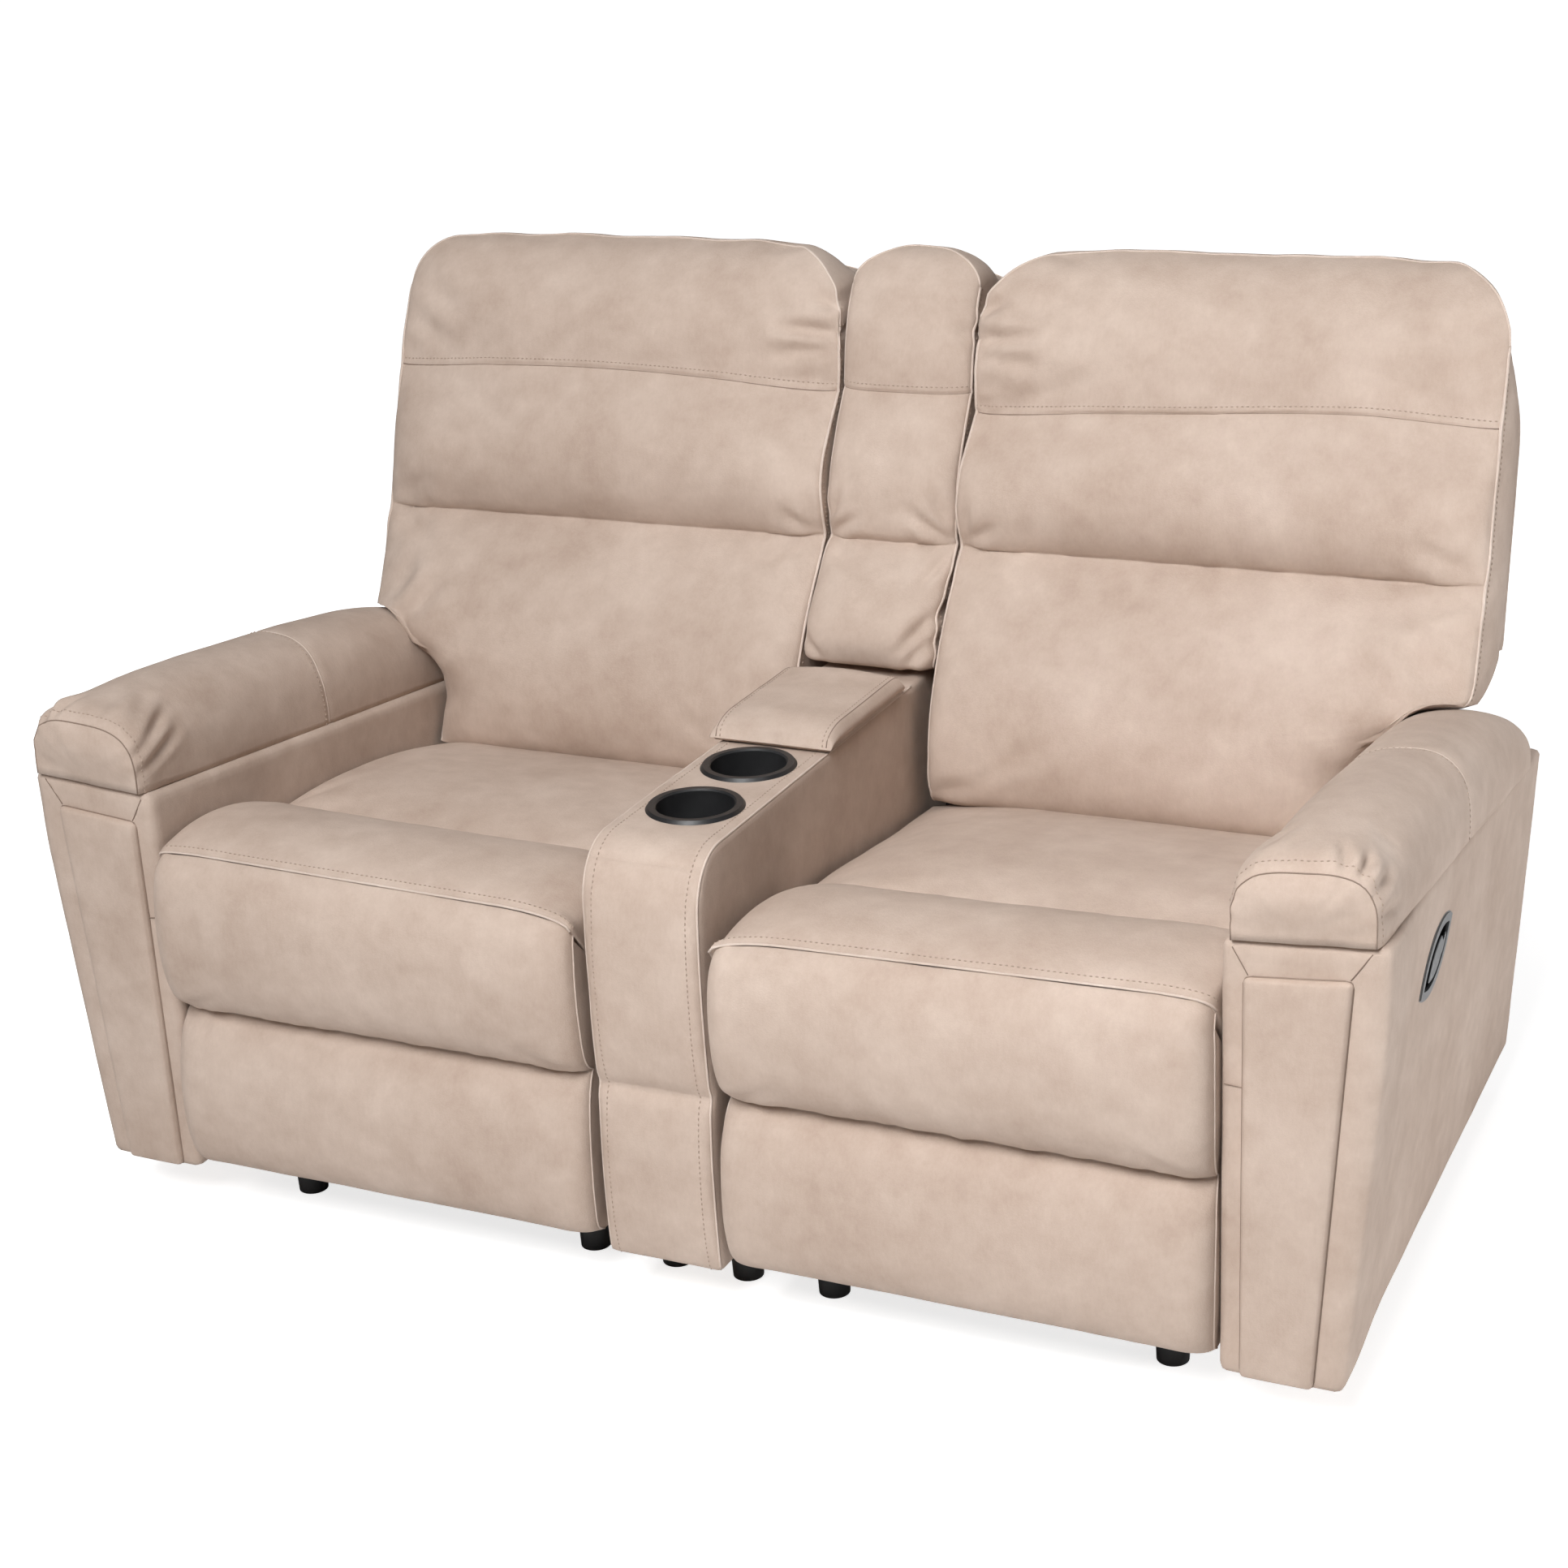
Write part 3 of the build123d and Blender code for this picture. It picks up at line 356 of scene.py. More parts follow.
@dataclass(frozen=True)
class Recessed(Finish):
    """Moulded plastic with painted black shadow below the outer face of an arm.

    Attributes:
        out: The direction out of the right arm's face.
        face: How far the face lies out along it, in metres.
        deep: How far below the face the painted black shadow begins, in metres; below 0 it begins above the
            face.
        band: Over what depth the plastic turns to painted black shadow, in metres.
    """

    out: Point
    face: float
    deep: float
    band: float = 0.002
    colour: Colour = (0.19, 0.195, 0.20, 1.0)
    shadow: Colour = (0.008, 0.008, 0.008, 1.0)

    def mix(self, bench: Bench) -> None:
        """Adds the plastic's nodes.

        Args:
            bench: The material's node tree.
        """
        place = bench.place()
        grain = bench.cloud(place, 900.0, 2.0)
        mirrored = bench.node("ShaderNodeVectorMath", {"operation": "ABSOLUTE"}, {0: place})
        reach = bench.node(
            "ShaderNodeVectorMath", {"operation": "DOT_PRODUCT"}, {0: mirrored, 1: self.out}, "Value",
        )
        start = self.face - self.deep
        # Painted shadow mask: 0 below the start, where the plastic is painted black as shade, 1 above it,
        # where it shows its grey.
        lit = bench.spread(reach, start - self.band, start)
        bench.surface({
            "Base Color": bench.blend(lit, self.shadow, self.colour),
            "Roughness": grain * 0.1 + 0.42,
            "Normal": bench.bump(grain, 0.0002, 0.35),
        })


@dataclass(frozen=True)
class Coated(Finish):
    """Steel with a black powder coat."""

    colour: Colour = (0.016, 0.016, 0.017, 1.0)

    def mix(self, bench: Bench) -> None:
        """Adds the coat's nodes.

        Args:
            bench: The material's node tree.
        """
        place = bench.place()
        peel = bench.cloud(place, 520.0, 2.0)
        worn = bench.spread(bench.cloud(place, 26.0, 5.0), 0.52, 0.72)
        bench.surface({
            "Base Color": bench.blend(worn, self.colour, (0.035, 0.035, 0.037, 1.0)),
            "Roughness": worn * 0.12 + 0.38,
            "Normal": bench.bump(peel, 0.0003, 0.4),
            "Specular IOR Level": 0.5,
        })


@dataclass(frozen=True)
class BareSteel(Finish):
    """Bare drawn steel with fine streaks."""

    colour: Colour = (0.42, 0.42, 0.43, 1.0)

    def mix(self, bench: Bench) -> None:
        """Adds the steel's nodes."""
        streaks = bench.cloud(bench.stretched(bench.place(), (30.0, 700.0, 700.0)), 1.0, 3.0)
        bench.surface({
            "Base Color": bench.blend(streaks, self.colour, (0.56, 0.56, 0.57, 1.0)),
            "Metallic": 1.0,
            "Roughness": streaks * 0.18 + 0.26,
        })


@dataclass(frozen=True)
class Timber(Finish):
    """Raw wood with long grain."""

    deep: Colour = (0.40, 0.25, 0.13, 1.0)
    pale: Colour = (0.62, 0.45, 0.27, 1.0)

    def mix(self, bench: Bench) -> None:
        """Adds the wood's nodes.

        Args:
            bench: The material's node tree.
        """
        place = bench.place()
        grain = bench.cloud(bench.stretched(place, (4.0, 60.0, 60.0)), 1.0, 5.0, 0.6)
        pores = bench.cloud(bench.stretched(place, (40.0, 900.0, 900.0)), 1.0, 2.0)
        tone = bench.spread(grain * 0.75 + pores * 0.25, 0.3, 0.7)
        bench.surface({
            "Base Color": bench.blend(tone, self.deep, self.pale),
            "Roughness": pores * 0.2 + 0.6,
            "Normal": bench.bump(pores, 0.0003, 0.5),
        })


@dataclass(frozen=True)
class Lining(Finish):
    """Thin black lining cloth with a visible weave."""

    colour: Colour = (0.018, 0.017, 0.017, 1.0)

    def mix(self, bench: Bench) -> None:
        """Adds the lining's nodes.

        Args:
            bench: The material's node tree.
        """
        place = bench.place()
        weave = bench.cloud(bench.stretched(place, (900.0, 900.0, 300.0)), 1.0, 2.0)
        bench.surface({
            "Base Color": bench.blend(weave, self.colour, (0.04, 0.038, 0.037, 1.0)),
            "Roughness": 0.85,
            "Normal": bench.bump(weave, 0.0004, 0.6),
        })


@dataclass(frozen=True)
class Track:
    """A smooth line through knots, each a place along it followed by its values there."""

    knots: tuple[tuple[float, ...], ...]

    def at(self, place: float) -> tuple[float, ...]:
        """Values at a place, which is kept between the first and the last knot.

        Args:
            place: The place along the line.

        Returns:
            The line's values there.
        """
        knots = self.knots
        t = min(knots[-1][0], max(knots[0][0], place))
        i = 0
        while i < len(knots) - 2 and t > knots[i + 1][0]:
            i += 1
        low, high = knots[i], knots[i + 1]
        before = knots[i - 1] if i else low
        after = knots[i + 2] if i + 2 < len(knots) else high
        width = high[0] - low[0]
        s = (t - low[0]) / width
        values = []
        for n in range(1, len(low)):
            chord = (high[n] - low[n]) / width
            start = (high[n] - before[n]) / (high[0] - before[0])
            end = (after[n] - low[n]) / (after[0] - low[0])
            start = start if i else chord
            end = end if i + 2 < len(knots) else chord
            values.append(
                low[n] * (1 + 2 * s) * (1 - s) ** 2
                + high[n] * s * s * (3 - 2 * s)
                + start * width * s * (1 - s) ** 2
                - end * width * s * s * (1 - s)
            )
        return tuple(values)


class BoxForm:
    """A closed grid of quads over the six sides of a box, bent into shape."""

    def __init__(
        self,
        across: Sequence[float],
        along: Sequence[float],
        through: Sequence[float],
        shape: Callable[[float, float, float], Point],
    ) -> None:
        """Numbers the grid's points.

        Args:
            across: Places of the grid lines along the first axis.
            along: Places of the grid lines along the second axis.
            through: Places of the grid lines along the third axis.
            shape: Gives the point in millimetres for a place on the box.
        """
        self.lines = (list(across), list(along), list(through))
        self.shape = shape
        self.index: dict[tuple[int, int, int], int] = {}
        ends = self.ends
        for i in range(ends[0] + 1):
            for j in range(ends[1] + 1):
                for k in range(ends[2] + 1):
                    if i in (0, ends[0]) or j in (0, ends[1]) or k in (0, ends[2]):
                        self.index[(i, j, k)] = len(self.index)

    @property
    def ends(self) -> tuple[int, int, int]:
        """The last grid number along each axis."""
        return tuple(len(line) - 1 for line in self.lines)

    def quads(self) -> list[tuple[int, int, int, int]]:
        """The grid's quads, facing outwards.

        Returns:
            Four point numbers for each quad.
        """
        found = []
        for axis in range(3):
            first, second = [n for n in range(3) if n != axis]
            for cap in (0, self.ends[axis]):
                for p in range(self.ends[first]):
                    for q in range(self.ends[second]):
                        loop = []
                        for dp, dq in ((0, 0), (1, 0), (1, 1), (0, 1)):
                            key = [0, 0, 0]
                            key[axis] = cap
                            key[first] = p + dp
                            key[second] = q + dq
                            loop.append(self.index[tuple(key)])
                        outwards = (cap > 0) == (axis != 1)
                        found.append(tuple(loop if outwards else loop[::-1]))
        return found

    def mesh(self, name: str, flip: float = 1.0) -> bpy.types.Mesh:
        """Makes the mesh in metres; flip -1 mirrors it to the other side.

        Args:
            name: Name of the mesh.
            flip: -1 for the left side, 1 for the right side.

        Returns:
            The mesh.
        """
        across, along, through = self.lines
        points = []
        for i, j, k in self.index:
            x, y, z = self.shape(across[i], along[j], through[k])
            points.append((x * flip * MM, y * MM, z * MM))
        quads = self.quads()
        made = bpy.data.meshes.new(name)
        made.from_pydata(points, [], quads if flip > 0 else [q[::-1] for q in quads])
        made.update()
        return made

    def near(self, axis: int, value: float) -> int:
        """Number of the grid line closest to a place."""
        line = self.lines[axis]
        return min(range(len(line)), key=lambda n: abs(line[n] - value))

    def run(self, i: int | None, j: int | None, k: int | None) -> list[int]:
        """Points along the one axis that is None, at grid numbers on the other two; -1 is the last.

        Args:
            i: Grid number on the first axis.
            j: Grid number on the second axis.
            k: Grid number on the third axis.

        Returns:
            Numbers of the points, in order.
        """
        ends = self.ends
        key = [e if v == -1 else v for v, e in zip((i, j, k), ends)]
        axis = key.index(None)
        points = []
        for n in range(ends[axis] + 1):
            key[axis] = n
            if tuple(key) in self.index:
                points.append(self.index[tuple(key)])
        return points


@dataclass(frozen=True)
class Swell:
    """Filling pressed into a cover by a cloth simulation."""

    pressure: float = 3.0
    tension: float = 14.0
    bending: float = 3.0
    mass: float = 0.25
    quality: int = 5
    frames: int = 14
    cap: float = 0.014

    def run(self, piece: bpy.types.Object, held: Sequence[float]) -> None:
        """Swells a closed mesh in place.

        Args:
            piece: The object to swell.
            held: How firmly each point is held, from 0 to 1.
        """
        if self.pressure == 0:
            return
        group = piece.vertex_groups.new(name="held")
        for number, weight in enumerate(held):
            if weight > 0:
                group.add([number], weight, "REPLACE")
        cloth = piece.modifiers.new("swell", "CLOTH")
        settings = cloth.settings
        settings.quality = self.quality
        settings.mass = self.mass
        settings.tension_stiffness = self.tension
        settings.compression_stiffness = self.tension
        settings.shear_stiffness = self.tension * 0.5
        settings.bending_stiffness = self.bending
        settings.use_pressure = True
        settings.uniform_pressure_force = self.pressure
        settings.vertex_group_mass = group.name
        settings.effector_weights.gravity = 0.0
        cloth.collision_settings.use_collision = False
        cloth.point_cache.frame_start = 1
        cloth.point_cache.frame_end = self.frames
        scene = bpy.context.scene
        for frame in range(1, self.frames + 1):
            scene.frame_set(frame)
        swollen = piece.evaluated_get(bpy.context.evaluated_depsgraph_get()).data
        moved = [v.co.copy() for v in swollen.vertices]
        piece.modifiers.remove(cloth)
        piece.vertex_groups.remove(group)
        for vertex, spot in zip(piece.data.vertices, moved):
            step = spot - vertex.co
            if step.length > self.cap:
                step *= self.cap / step.length
            vertex.co += step
        piece.data.update()
        scene.frame_set(1)


@dataclass(frozen=True)
class Fold:
    """A crease pressed into a cover along a straight run, in millimetres.

    Attributes:
        start: Where the crease begins.
        end: Where it runs out.
        depth: How deep it is in its middle.
        width: Half its width.
        counts: How much a distance along each axis counts; 0 lets the crease follow the surface.
    """

    start: Point
    end: Point
    depth: float
    width: float
    counts: Point = (1.0, 1.0, 1.0)

    def press(self, spot: Vector) -> float:
        """How far the cover sinks at a spot; beside the crease it rises a little.

        Args:
            spot: The spot on the cover, in millimetres.

        Returns:
            The depth in millimetres.
        """
        counts = Vector(self.counts)
        start = Vector(self.start) * counts
        run = Vector(self.end) * counts - start
        off = spot * counts - start
        share = min(1.0, max(0.0, off.dot(run) / run.length_squared))
        away = (off - run * share).length / self.width
        if away > 4.0:
            return 0.0
        fade = math.sin(math.pi * (0.08 + 0.84 * share))
        return self.depth * fade * (math.exp(-away * away) - 0.4 * math.exp(-((away - 1.9) ** 2)))


def pinch(start: tuple[float, float], end: tuple[float, float], depth: float, width: float) -> Fold:
    """A crease on a front, given by the (x, z) of its ends."""
    return Fold((start[0], 0, start[1]), (end[0], 0, end[1]), depth, width, (1, 0, 1))


@dataclass(frozen=True)
class Pucker:
    """Small gathers that run away from a seam, in millimetres."""

    seam: tuple[Point, ...]
    height: float = 1.2
    spacing: float = 16.0
    reach: float = 30.0
    seed: float = 0.0

    def rise(self, spot: Vector) -> float:
        """How far the cover rises or sinks at a spot.

        Args:
            spot: The spot on the cover, in millimetres.

        Returns:
            The height in millimetres, below 0 where it sinks.
        """
        best, place, gone = 1e9, 0.0, 0.0
        for first, second in zip(self.seam, self.seam[1:]):
            start = Vector(first)
            run = Vector(second) - start
            share = min(1.0, max(0.0, (spot - start).dot(run) / run.length_squared))
            off = (spot - start - run * share).length
            if off < best:
                best, place = off, gone + share * run.length
            gone += run.length
        if best > 3.0 * self.reach:
            return 0.0
        wave = noise.noise(Vector((place / self.spacing, self.seed, 0.3)))
        close = best / self.reach
        return self.height * wave * 2.2 * close * math.exp(1.0 - 1.6 * close)


class Tubes:
    """Thin tubes, gathered in one mesh."""

    def __init__(self) -> None:
        """Starts without tubes."""
        self.points: list[Vector] = []
        self.quads: list[tuple[int, ...]] = []

    def add(self, path: Trail, radii: Sequence[float], sides: int = 6) -> None:
        """Adds a tube.

        Args:
            path: Points along the tube's middle, each with the surface's normal there.
            radii: The tube's radius at each point, in metres.
            sides: Number of the tube's sides.
        """
        base = len(self.points)
        last = len(path) - 1
        for n, (spot, normal) in enumerate(path):
            way = (path[min(n + 1, last)][0] - path[max(n - 1, 0)][0]).normalized()
            out = (normal - way * normal.dot(way)).normalized()
            side = way.cross(out)
            for s in range(sides):
                turn = 2 * math.pi * s / sides
                self.points.append(spot + (out * math.cos(turn) + side * math.sin(turn)) * radii[n])
        for n in range(last):
            for s in range(sides):
                a = base + n * sides + s
                b = base + n * sides + (s + 1) % sides
                self.quads.append((a, b, b + sides, a + sides))
        self.quads.append(tuple(base + s for s in range(sides))[::-1])
        self.quads.append(tuple(base + last * sides + s for s in range(sides)))

    def place(self, name: str, body: str, material: bpy.types.Material) -> None:
        """Makes the object, if there is any tube, and lets it ride on its body.

        Args:
            name: Name of the object.
            body: The body that it rides on.
            material: What it is made of.
        """
        if not self.points:
            return
        mesh = bpy.data.meshes.new(name)
        mesh.from_pydata([tuple(p) for p in self.points], [], self.quads)
        mesh.update()
        made = add_object(name, mesh, material)
        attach(made, body)


class Sewing:
    """The welts and stitches of one cover."""

    thread_sides: int = 5

    def __init__(self) -> None:
        """Starts without a seam."""
        self.welts = Tubes()
        # Dark cords that paint the shade in the seams' depth.
        self.seams = Tubes()
        self.thread = Tubes()

    def welt(self, path: Trail, radius: float = 1.7, sink: float = 0.4) -> None:
        """Adds a round welt along a path, sunk into the cloth by a share of its radius."""
        line = sunken(path, radius, sink)
        self.welts.add(line, [radius * MM] * len(line))

    def line(self, path: Trail, radius: float = 0.9, sink: float = 0.2) -> None:
        """Adds a thin dark cord in the depth of a flat seam, as painted shade of its groove."""
        line = sunken(path, radius, sink)
        self.seams.add(line, [radius * MM] * len(line), self.thread_sides)

    def stitches(self, path: Trail, pitch: float = 6.4, radius: float = 0.85) -> None:
        """Adds a row of stitches along a path, each over half of a pitch.

        Args:
            path: Points on the cloth with their normals, in metres.
            pitch: Distance from one stitch to the next, in millimetres.
            radius: Radius of the thread, in millimetres.
        """
        line = spaced(path, pitch / 4)
        for n in range(0, len(line) - 2, 4):
            raised = [
                (spot + normal * up * radius * MM, normal)
                for (spot, normal), up in zip(line[n:n + 3], (0.0, 0.35, 0.0))
            ]
            self.thread.add(raised, [radius * r * MM for r in (0.5, 1.0, 0.5)], self.thread_sides)


def sunken(path: Trail, radius: float, sink: float, step: float = 7.0) -> list[tuple[Vector, Vector]]:
    """A path with even steps, moved into the cloth by a share of a tube's radius."""
    return [(spot - normal * radius * sink * MM, normal) for spot, normal in spaced(path, step)]


def spaced(path: Trail, step: float) -> list[tuple[Vector, Vector]]:
    """Points at even distances along a path.

    Args:
        path: Points with their normals, in metres.
        step: Distance between two points, in millimetres.

    Returns:
        The points with their normals.
    """
    if len(path) < 2:
        return list(path)
    lengths = [0.0]
    for (first, _), (second, _) in zip(path, path[1:]):
        lengths.append(lengths[-1] + (second - first).length)
    count = max(1, round(lengths[-1] / (step * MM)))
    found = []
    i = 0
    for n in range(count + 1):
        want = lengths[-1] * n / count
        while i < len(path) - 2 and lengths[i + 1] < want:
            i += 1
        width = max(1e-9, lengths[i + 1] - lengths[i])
        share = min(1.0, (want - lengths[i]) / width)
        spot = path[i][0].lerp(path[i + 1][0], share)
        normal = path[i][1].lerp(path[i + 1][1], share)
        found.append((spot, normal.normalized()))
    return found


def add_object(name: str, mesh: bpy.types.Mesh, material: bpy.types.Material) -> bpy.types.Object:
    """Links a mesh to the scene as a smooth object with one material.

    Args:
        name: Name of the object.
        mesh: Its mesh.
        material: What it is made of.

    Returns:
        The object.
    """
    made = bpy.data.objects.new(name, mesh)
    bpy.context.scene.collection.objects.link(made)
    mesh.materials.append(material)
    for polygon in mesh.polygons:
        polygon.use_smooth = True
    return made


@dataclass(frozen=True)
class Handle:
    """Where a release handle lies in the outer face of the right arm, in millimetres."""

    middle: Point = (788.0, -173.0, 438.0)
    turn: float = math.radians(20.0)
    tilt: float = math.atan(ARM_FLARE / ARM_TALL)

    @property
    def out(self) -> Vector:
        """The direction out of the face."""
        return Vector((math.cos(self.tilt), 0.0, -math.sin(self.tilt)))

    @property
    def way(self) -> Vector:
        """The direction along the handle, towards its rear tip."""
        rise = math.sin(self.turn)
        return Vector((rise * math.sin(self.tilt), math.cos(self.turn), rise * math.cos(self.tilt)))

    def spot(self, x: float, y: float, depth: float) -> Vector:
        """The point at a place along the handle, up it and out of its face."""
        up = self.out.cross(self.way)
        return Vector(self.middle) + self.way * x + up * y + self.out * depth


class Wardrobe:
    """The materials of the whole sofa, made once."""

    def __init__(self) -> None:
        """Mixes the finishes."""
        handle = Handle()
        out = tuple(handle.out)
        face = Vector(handle.middle).dot(handle.out) * MM
        self.cloth = Suede("beige_suede").material()
        # The piping is a paler copy of the cloth: a painted highlight along the welts.
        self.piping = Suede("beige_piping", (0.53, 0.425, 0.36, 1.0), (0.68, 0.575, 0.505, 1.0)).material()
        self.thread = Thread("beige_thread").material()
        # A dark cord colour for the seams: painted shade in their grooves.
        self.dark_thread = Thread("brown_thread", (0.22, 0.158, 0.122, 1.0)).material()
        self.black = Moulded("black_plastic").material()
        # The bezel and the paddle are grey plastic with painted black shadow below the arm's face.
        self.bezel = Recessed("grey_bezel", out, face, -0.0012).material()
        self.paddle = Recessed("grey_paddle", out, face, -0.0026).material()
        self.coated = Coated("black_steel").material()
        self.bare = BareSteel("spring_steel").material()
        self.timber = Timber("plywood").material()
        self.lining = Lining("black_lining").material()


@dataclass
class Cover(ABC):
    """A sewn cover over filling: shaped, swollen, creased, sewn and clothed."""

    name: str
    body: str
    nodes: tuple[str, ...]
    flip: float = 1.0
    seed: float = 0.0
    fill: float = 0.7
    wave: float = 0.7
    swell: Swell = Swell()
    form: BoxForm = field(init=False)
    piece: bpy.types.Object = field(init=False)
    sewing: Sewing = field(init=False)

    @abstractmethod
    def grid(self) -> Grid:
        """Places of the grid lines along the three axes."""

    @abstractmethod
    def shape(self, a: float, b: float, c: float) -> Point:
        """The point in millimetres for a place on the box, drawn for the right side."""

    def held(self, i: int, j: int, k: int) -> float:
        """How firmly a grid point is held while the cover swells."""
        return 0.0

    def folds(self) -> list[Fold]:
        """Creases in the cover, drawn for the right side."""
        return []

    def puckers(self) -> list[Pucker]:
        """Gathers along seams, drawn for the right side."""
        return []

    def sew(self) -> None:
        """Adds the welts and stitches."""

    def carve(self) -> None:
        """Cuts openings in the finished cover."""

    def path(self, points: Iterable[int]) -> list[tuple[Vector, Vector]]:
        """Spots and normals of the mesh at the given points."""
        vertices = self.piece.data.vertices
        return [(vertices[n].co.copy(), vertices[n].normal.copy()) for n in points]

    def build(self, wardrobe: Wardrobe) -> None:
        """Makes the cover with its seams and puts it in the frame.

        Args:
            wardrobe: The sofa's materials.
        """
        self.form = BoxForm(*self.grid(), self.shape)
        self.piece = add_object(self.name, self.form.mesh(self.name, self.flip), wardrobe.cloth)
        self.swell.run(self.piece, [self.held(*key) for key in self.form.index])
        self.ruffle()
        self.sewing = Sewing()
        self.sew()
        self.carve()
        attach(self.piece, self.body)
        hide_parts(*self.nodes)
        # The welts take the paler piping cloth, a painted highlight.
        self.sewing.welts.place(self.name + "_welts", self.body, wardrobe.piping)
        # The seams' dark cords: painted shade in the seam grooves.
        self.sewing.seams.place(self.name + "_seams", self.body, wardrobe.dark_thread)
        self.sewing.thread.place(self.name + "_stitches", self.body, wardrobe.thread)
        LOG.info("%s: %d faces", self.name, len(self.piece.data.polygons))

    def ruffle(self) -> None:
        """Presses the folds and gathers into the cover and gives it a slight unevenness."""
        folds = self.folds()
        puckers = self.puckers()
        vertices = self.piece.data.vertices
        wide, small = 74.0, 27.0  # lengths of the uneven waves
        steps = []
        for vertex in vertices:
            spot = vertex.co / MM
            spot.x *= self.flip
            sink = sum(fold.press(spot) for fold in folds)
            rise = sum(pucker.rise(spot) for pucker in puckers)
            even = noise.noise(Vector((spot.x / wide + self.seed, spot.y / wide, spot.z / wide)))
            fine = noise.noise(Vector((spot.x / small, spot.y / small + self.seed, spot.z / small)))
            steps.append(vertex.normal * ((rise - sink + self.wave * (even + 0.35 * fine)) * MM))
        for vertex, step in zip(vertices, steps):
            vertex.co += step
        self.piece.data.update()

    def cut(self, cutter: bpy.types.Object) -> None:
        """Cuts a solid out of the cover and removes the solid.

        Args:
            cutter: The solid to cut with.
        """
        tool = self.piece.modifiers.new("cut", "BOOLEAN")
        tool.object = cutter
        tool.operation = "DIFFERENCE"
        tool.solver = "EXACT"
        solid = self.piece.evaluated_get(bpy.context.evaluated_depsgraph_get())
        mesh = bpy.data.meshes.new_from_object(solid)
        self.piece.modifiers.remove(tool)
        old = self.piece.data
        self.piece.data = mesh
        mesh.name = self.name
        bpy.data.meshes.remove(old)
        bpy.data.objects.remove(cutter)


@dataclass
class Stretched(Cover):
    """A cover stretched over a frame or a board, which doesn't swell."""

    fill: float = 0.4
    swell: Swell = Swell(pressure=0.0)


def rounded(p: Point, low: Point, high: Point, radius: float) -> Point:
    """A point on a box, moved to the same box with round edges.

    Args:
        p: The point on the box.
        low: The box's lowest corner.
        high: The box's highest corner.
        radius: Radius of the round edges.

    Returns:
        The point on the round box.
    """
    inner = [min(high[n] - radius, max(low[n] + radius, p[n])) for n in range(3)]
    out = Vector(p) - Vector(inner)
    if out.length < 1e-9:
        return p
    return tuple(Vector(inner) + out.normalized() * radius)


def patch(a: float, c: float, low: Callable, high: Callable, left: Callable, right: Callable) -> Vector:
    """A point inside four border lines, each given as a function from 0 to 1.

    Args:
        a: Place from the left line to the right line, from 0 to 1.
        c: Place from the low line to the high line, from 0 to 1.
        low: The lower border.
        high: The upper border.
        left: The left border.
        right: The right border.

    Returns:
        The point.
    """
    across = low(a) * (1 - c) + high(a) * c
    along = left(c) * (1 - a) + right(c) * a
    corners = (low(0) * (1 - a) + low(1) * a) * (1 - c) + (high(0) * (1 - a) + high(1) * a) * c
    return across + along - corners


BACK_TILT = math.radians(12.0)
BACK_TOP = 1057.0  # height of the top of the backs
BACK_DEPTH = 50.0  # thickness of the covered rear of a back
REAR_FOOT = (350.0, 327.0)  # (y, z) from which the outside back rises
REAR_FALL = 0.5  # share of a shoulder's fall that the rear of the back has
TUCK = 1.0  # place of the tuck up a back, from 0 at its foot to 3 at its crest
FLAT_SEAM = 2.0  # place of the flat seam, in the same measure
CORNER_INSET = 37.0
CORNER_START = 514.0
CORNER_RUN = 179.0


def on_back(depth: float, rise: float) -> tuple[float, float]:
    """The (y, z) at a depth in front of the outside back and a rise along it."""
    return (
        REAR_FOOT[0] + rise * math.sin(BACK_TILT) - depth * math.cos(BACK_TILT),
        REAR_FOOT[1] + rise * math.cos(BACK_TILT) + depth * math.sin(BACK_TILT),
    )


def corner_inset(rise: float) -> float:
    """How far the rear of a seat's back is drawn in at its outer edge, at a rise along it."""
    return CORNER_INSET * max(0.0, (rise - CORNER_START) / CORNER_RUN) ** 1.6


def outwards(share: float, bulge: float) -> float:
    """How far a side swells: forth at the far edge (1), back at the near edge (0), not between them."""
    return bulge if share == 1.0 else -bulge if share == 0.0 else 0.0


@dataclass(frozen=True)
class Shoulders:
    """How the top of a back falls away roundly to its two sides, in millimetres."""

    near: float = 84.0
    near_run: float = 78.0
    far: float = 76.0
    far_run: float = 72.0

    def fall(self, x: float, inner: float, outer: float) -> float:
        """How far the top has fallen at a place across, between the back's two edges."""
        near = self.near * (1 - quarter((x - inner) / self.near_run))
        return near + self.far * (1 - quarter((outer - x) / self.far_run))


CONSOLE_SHOULDERS = Shoulders(44.0, 74.0, 44.0, 74.0)


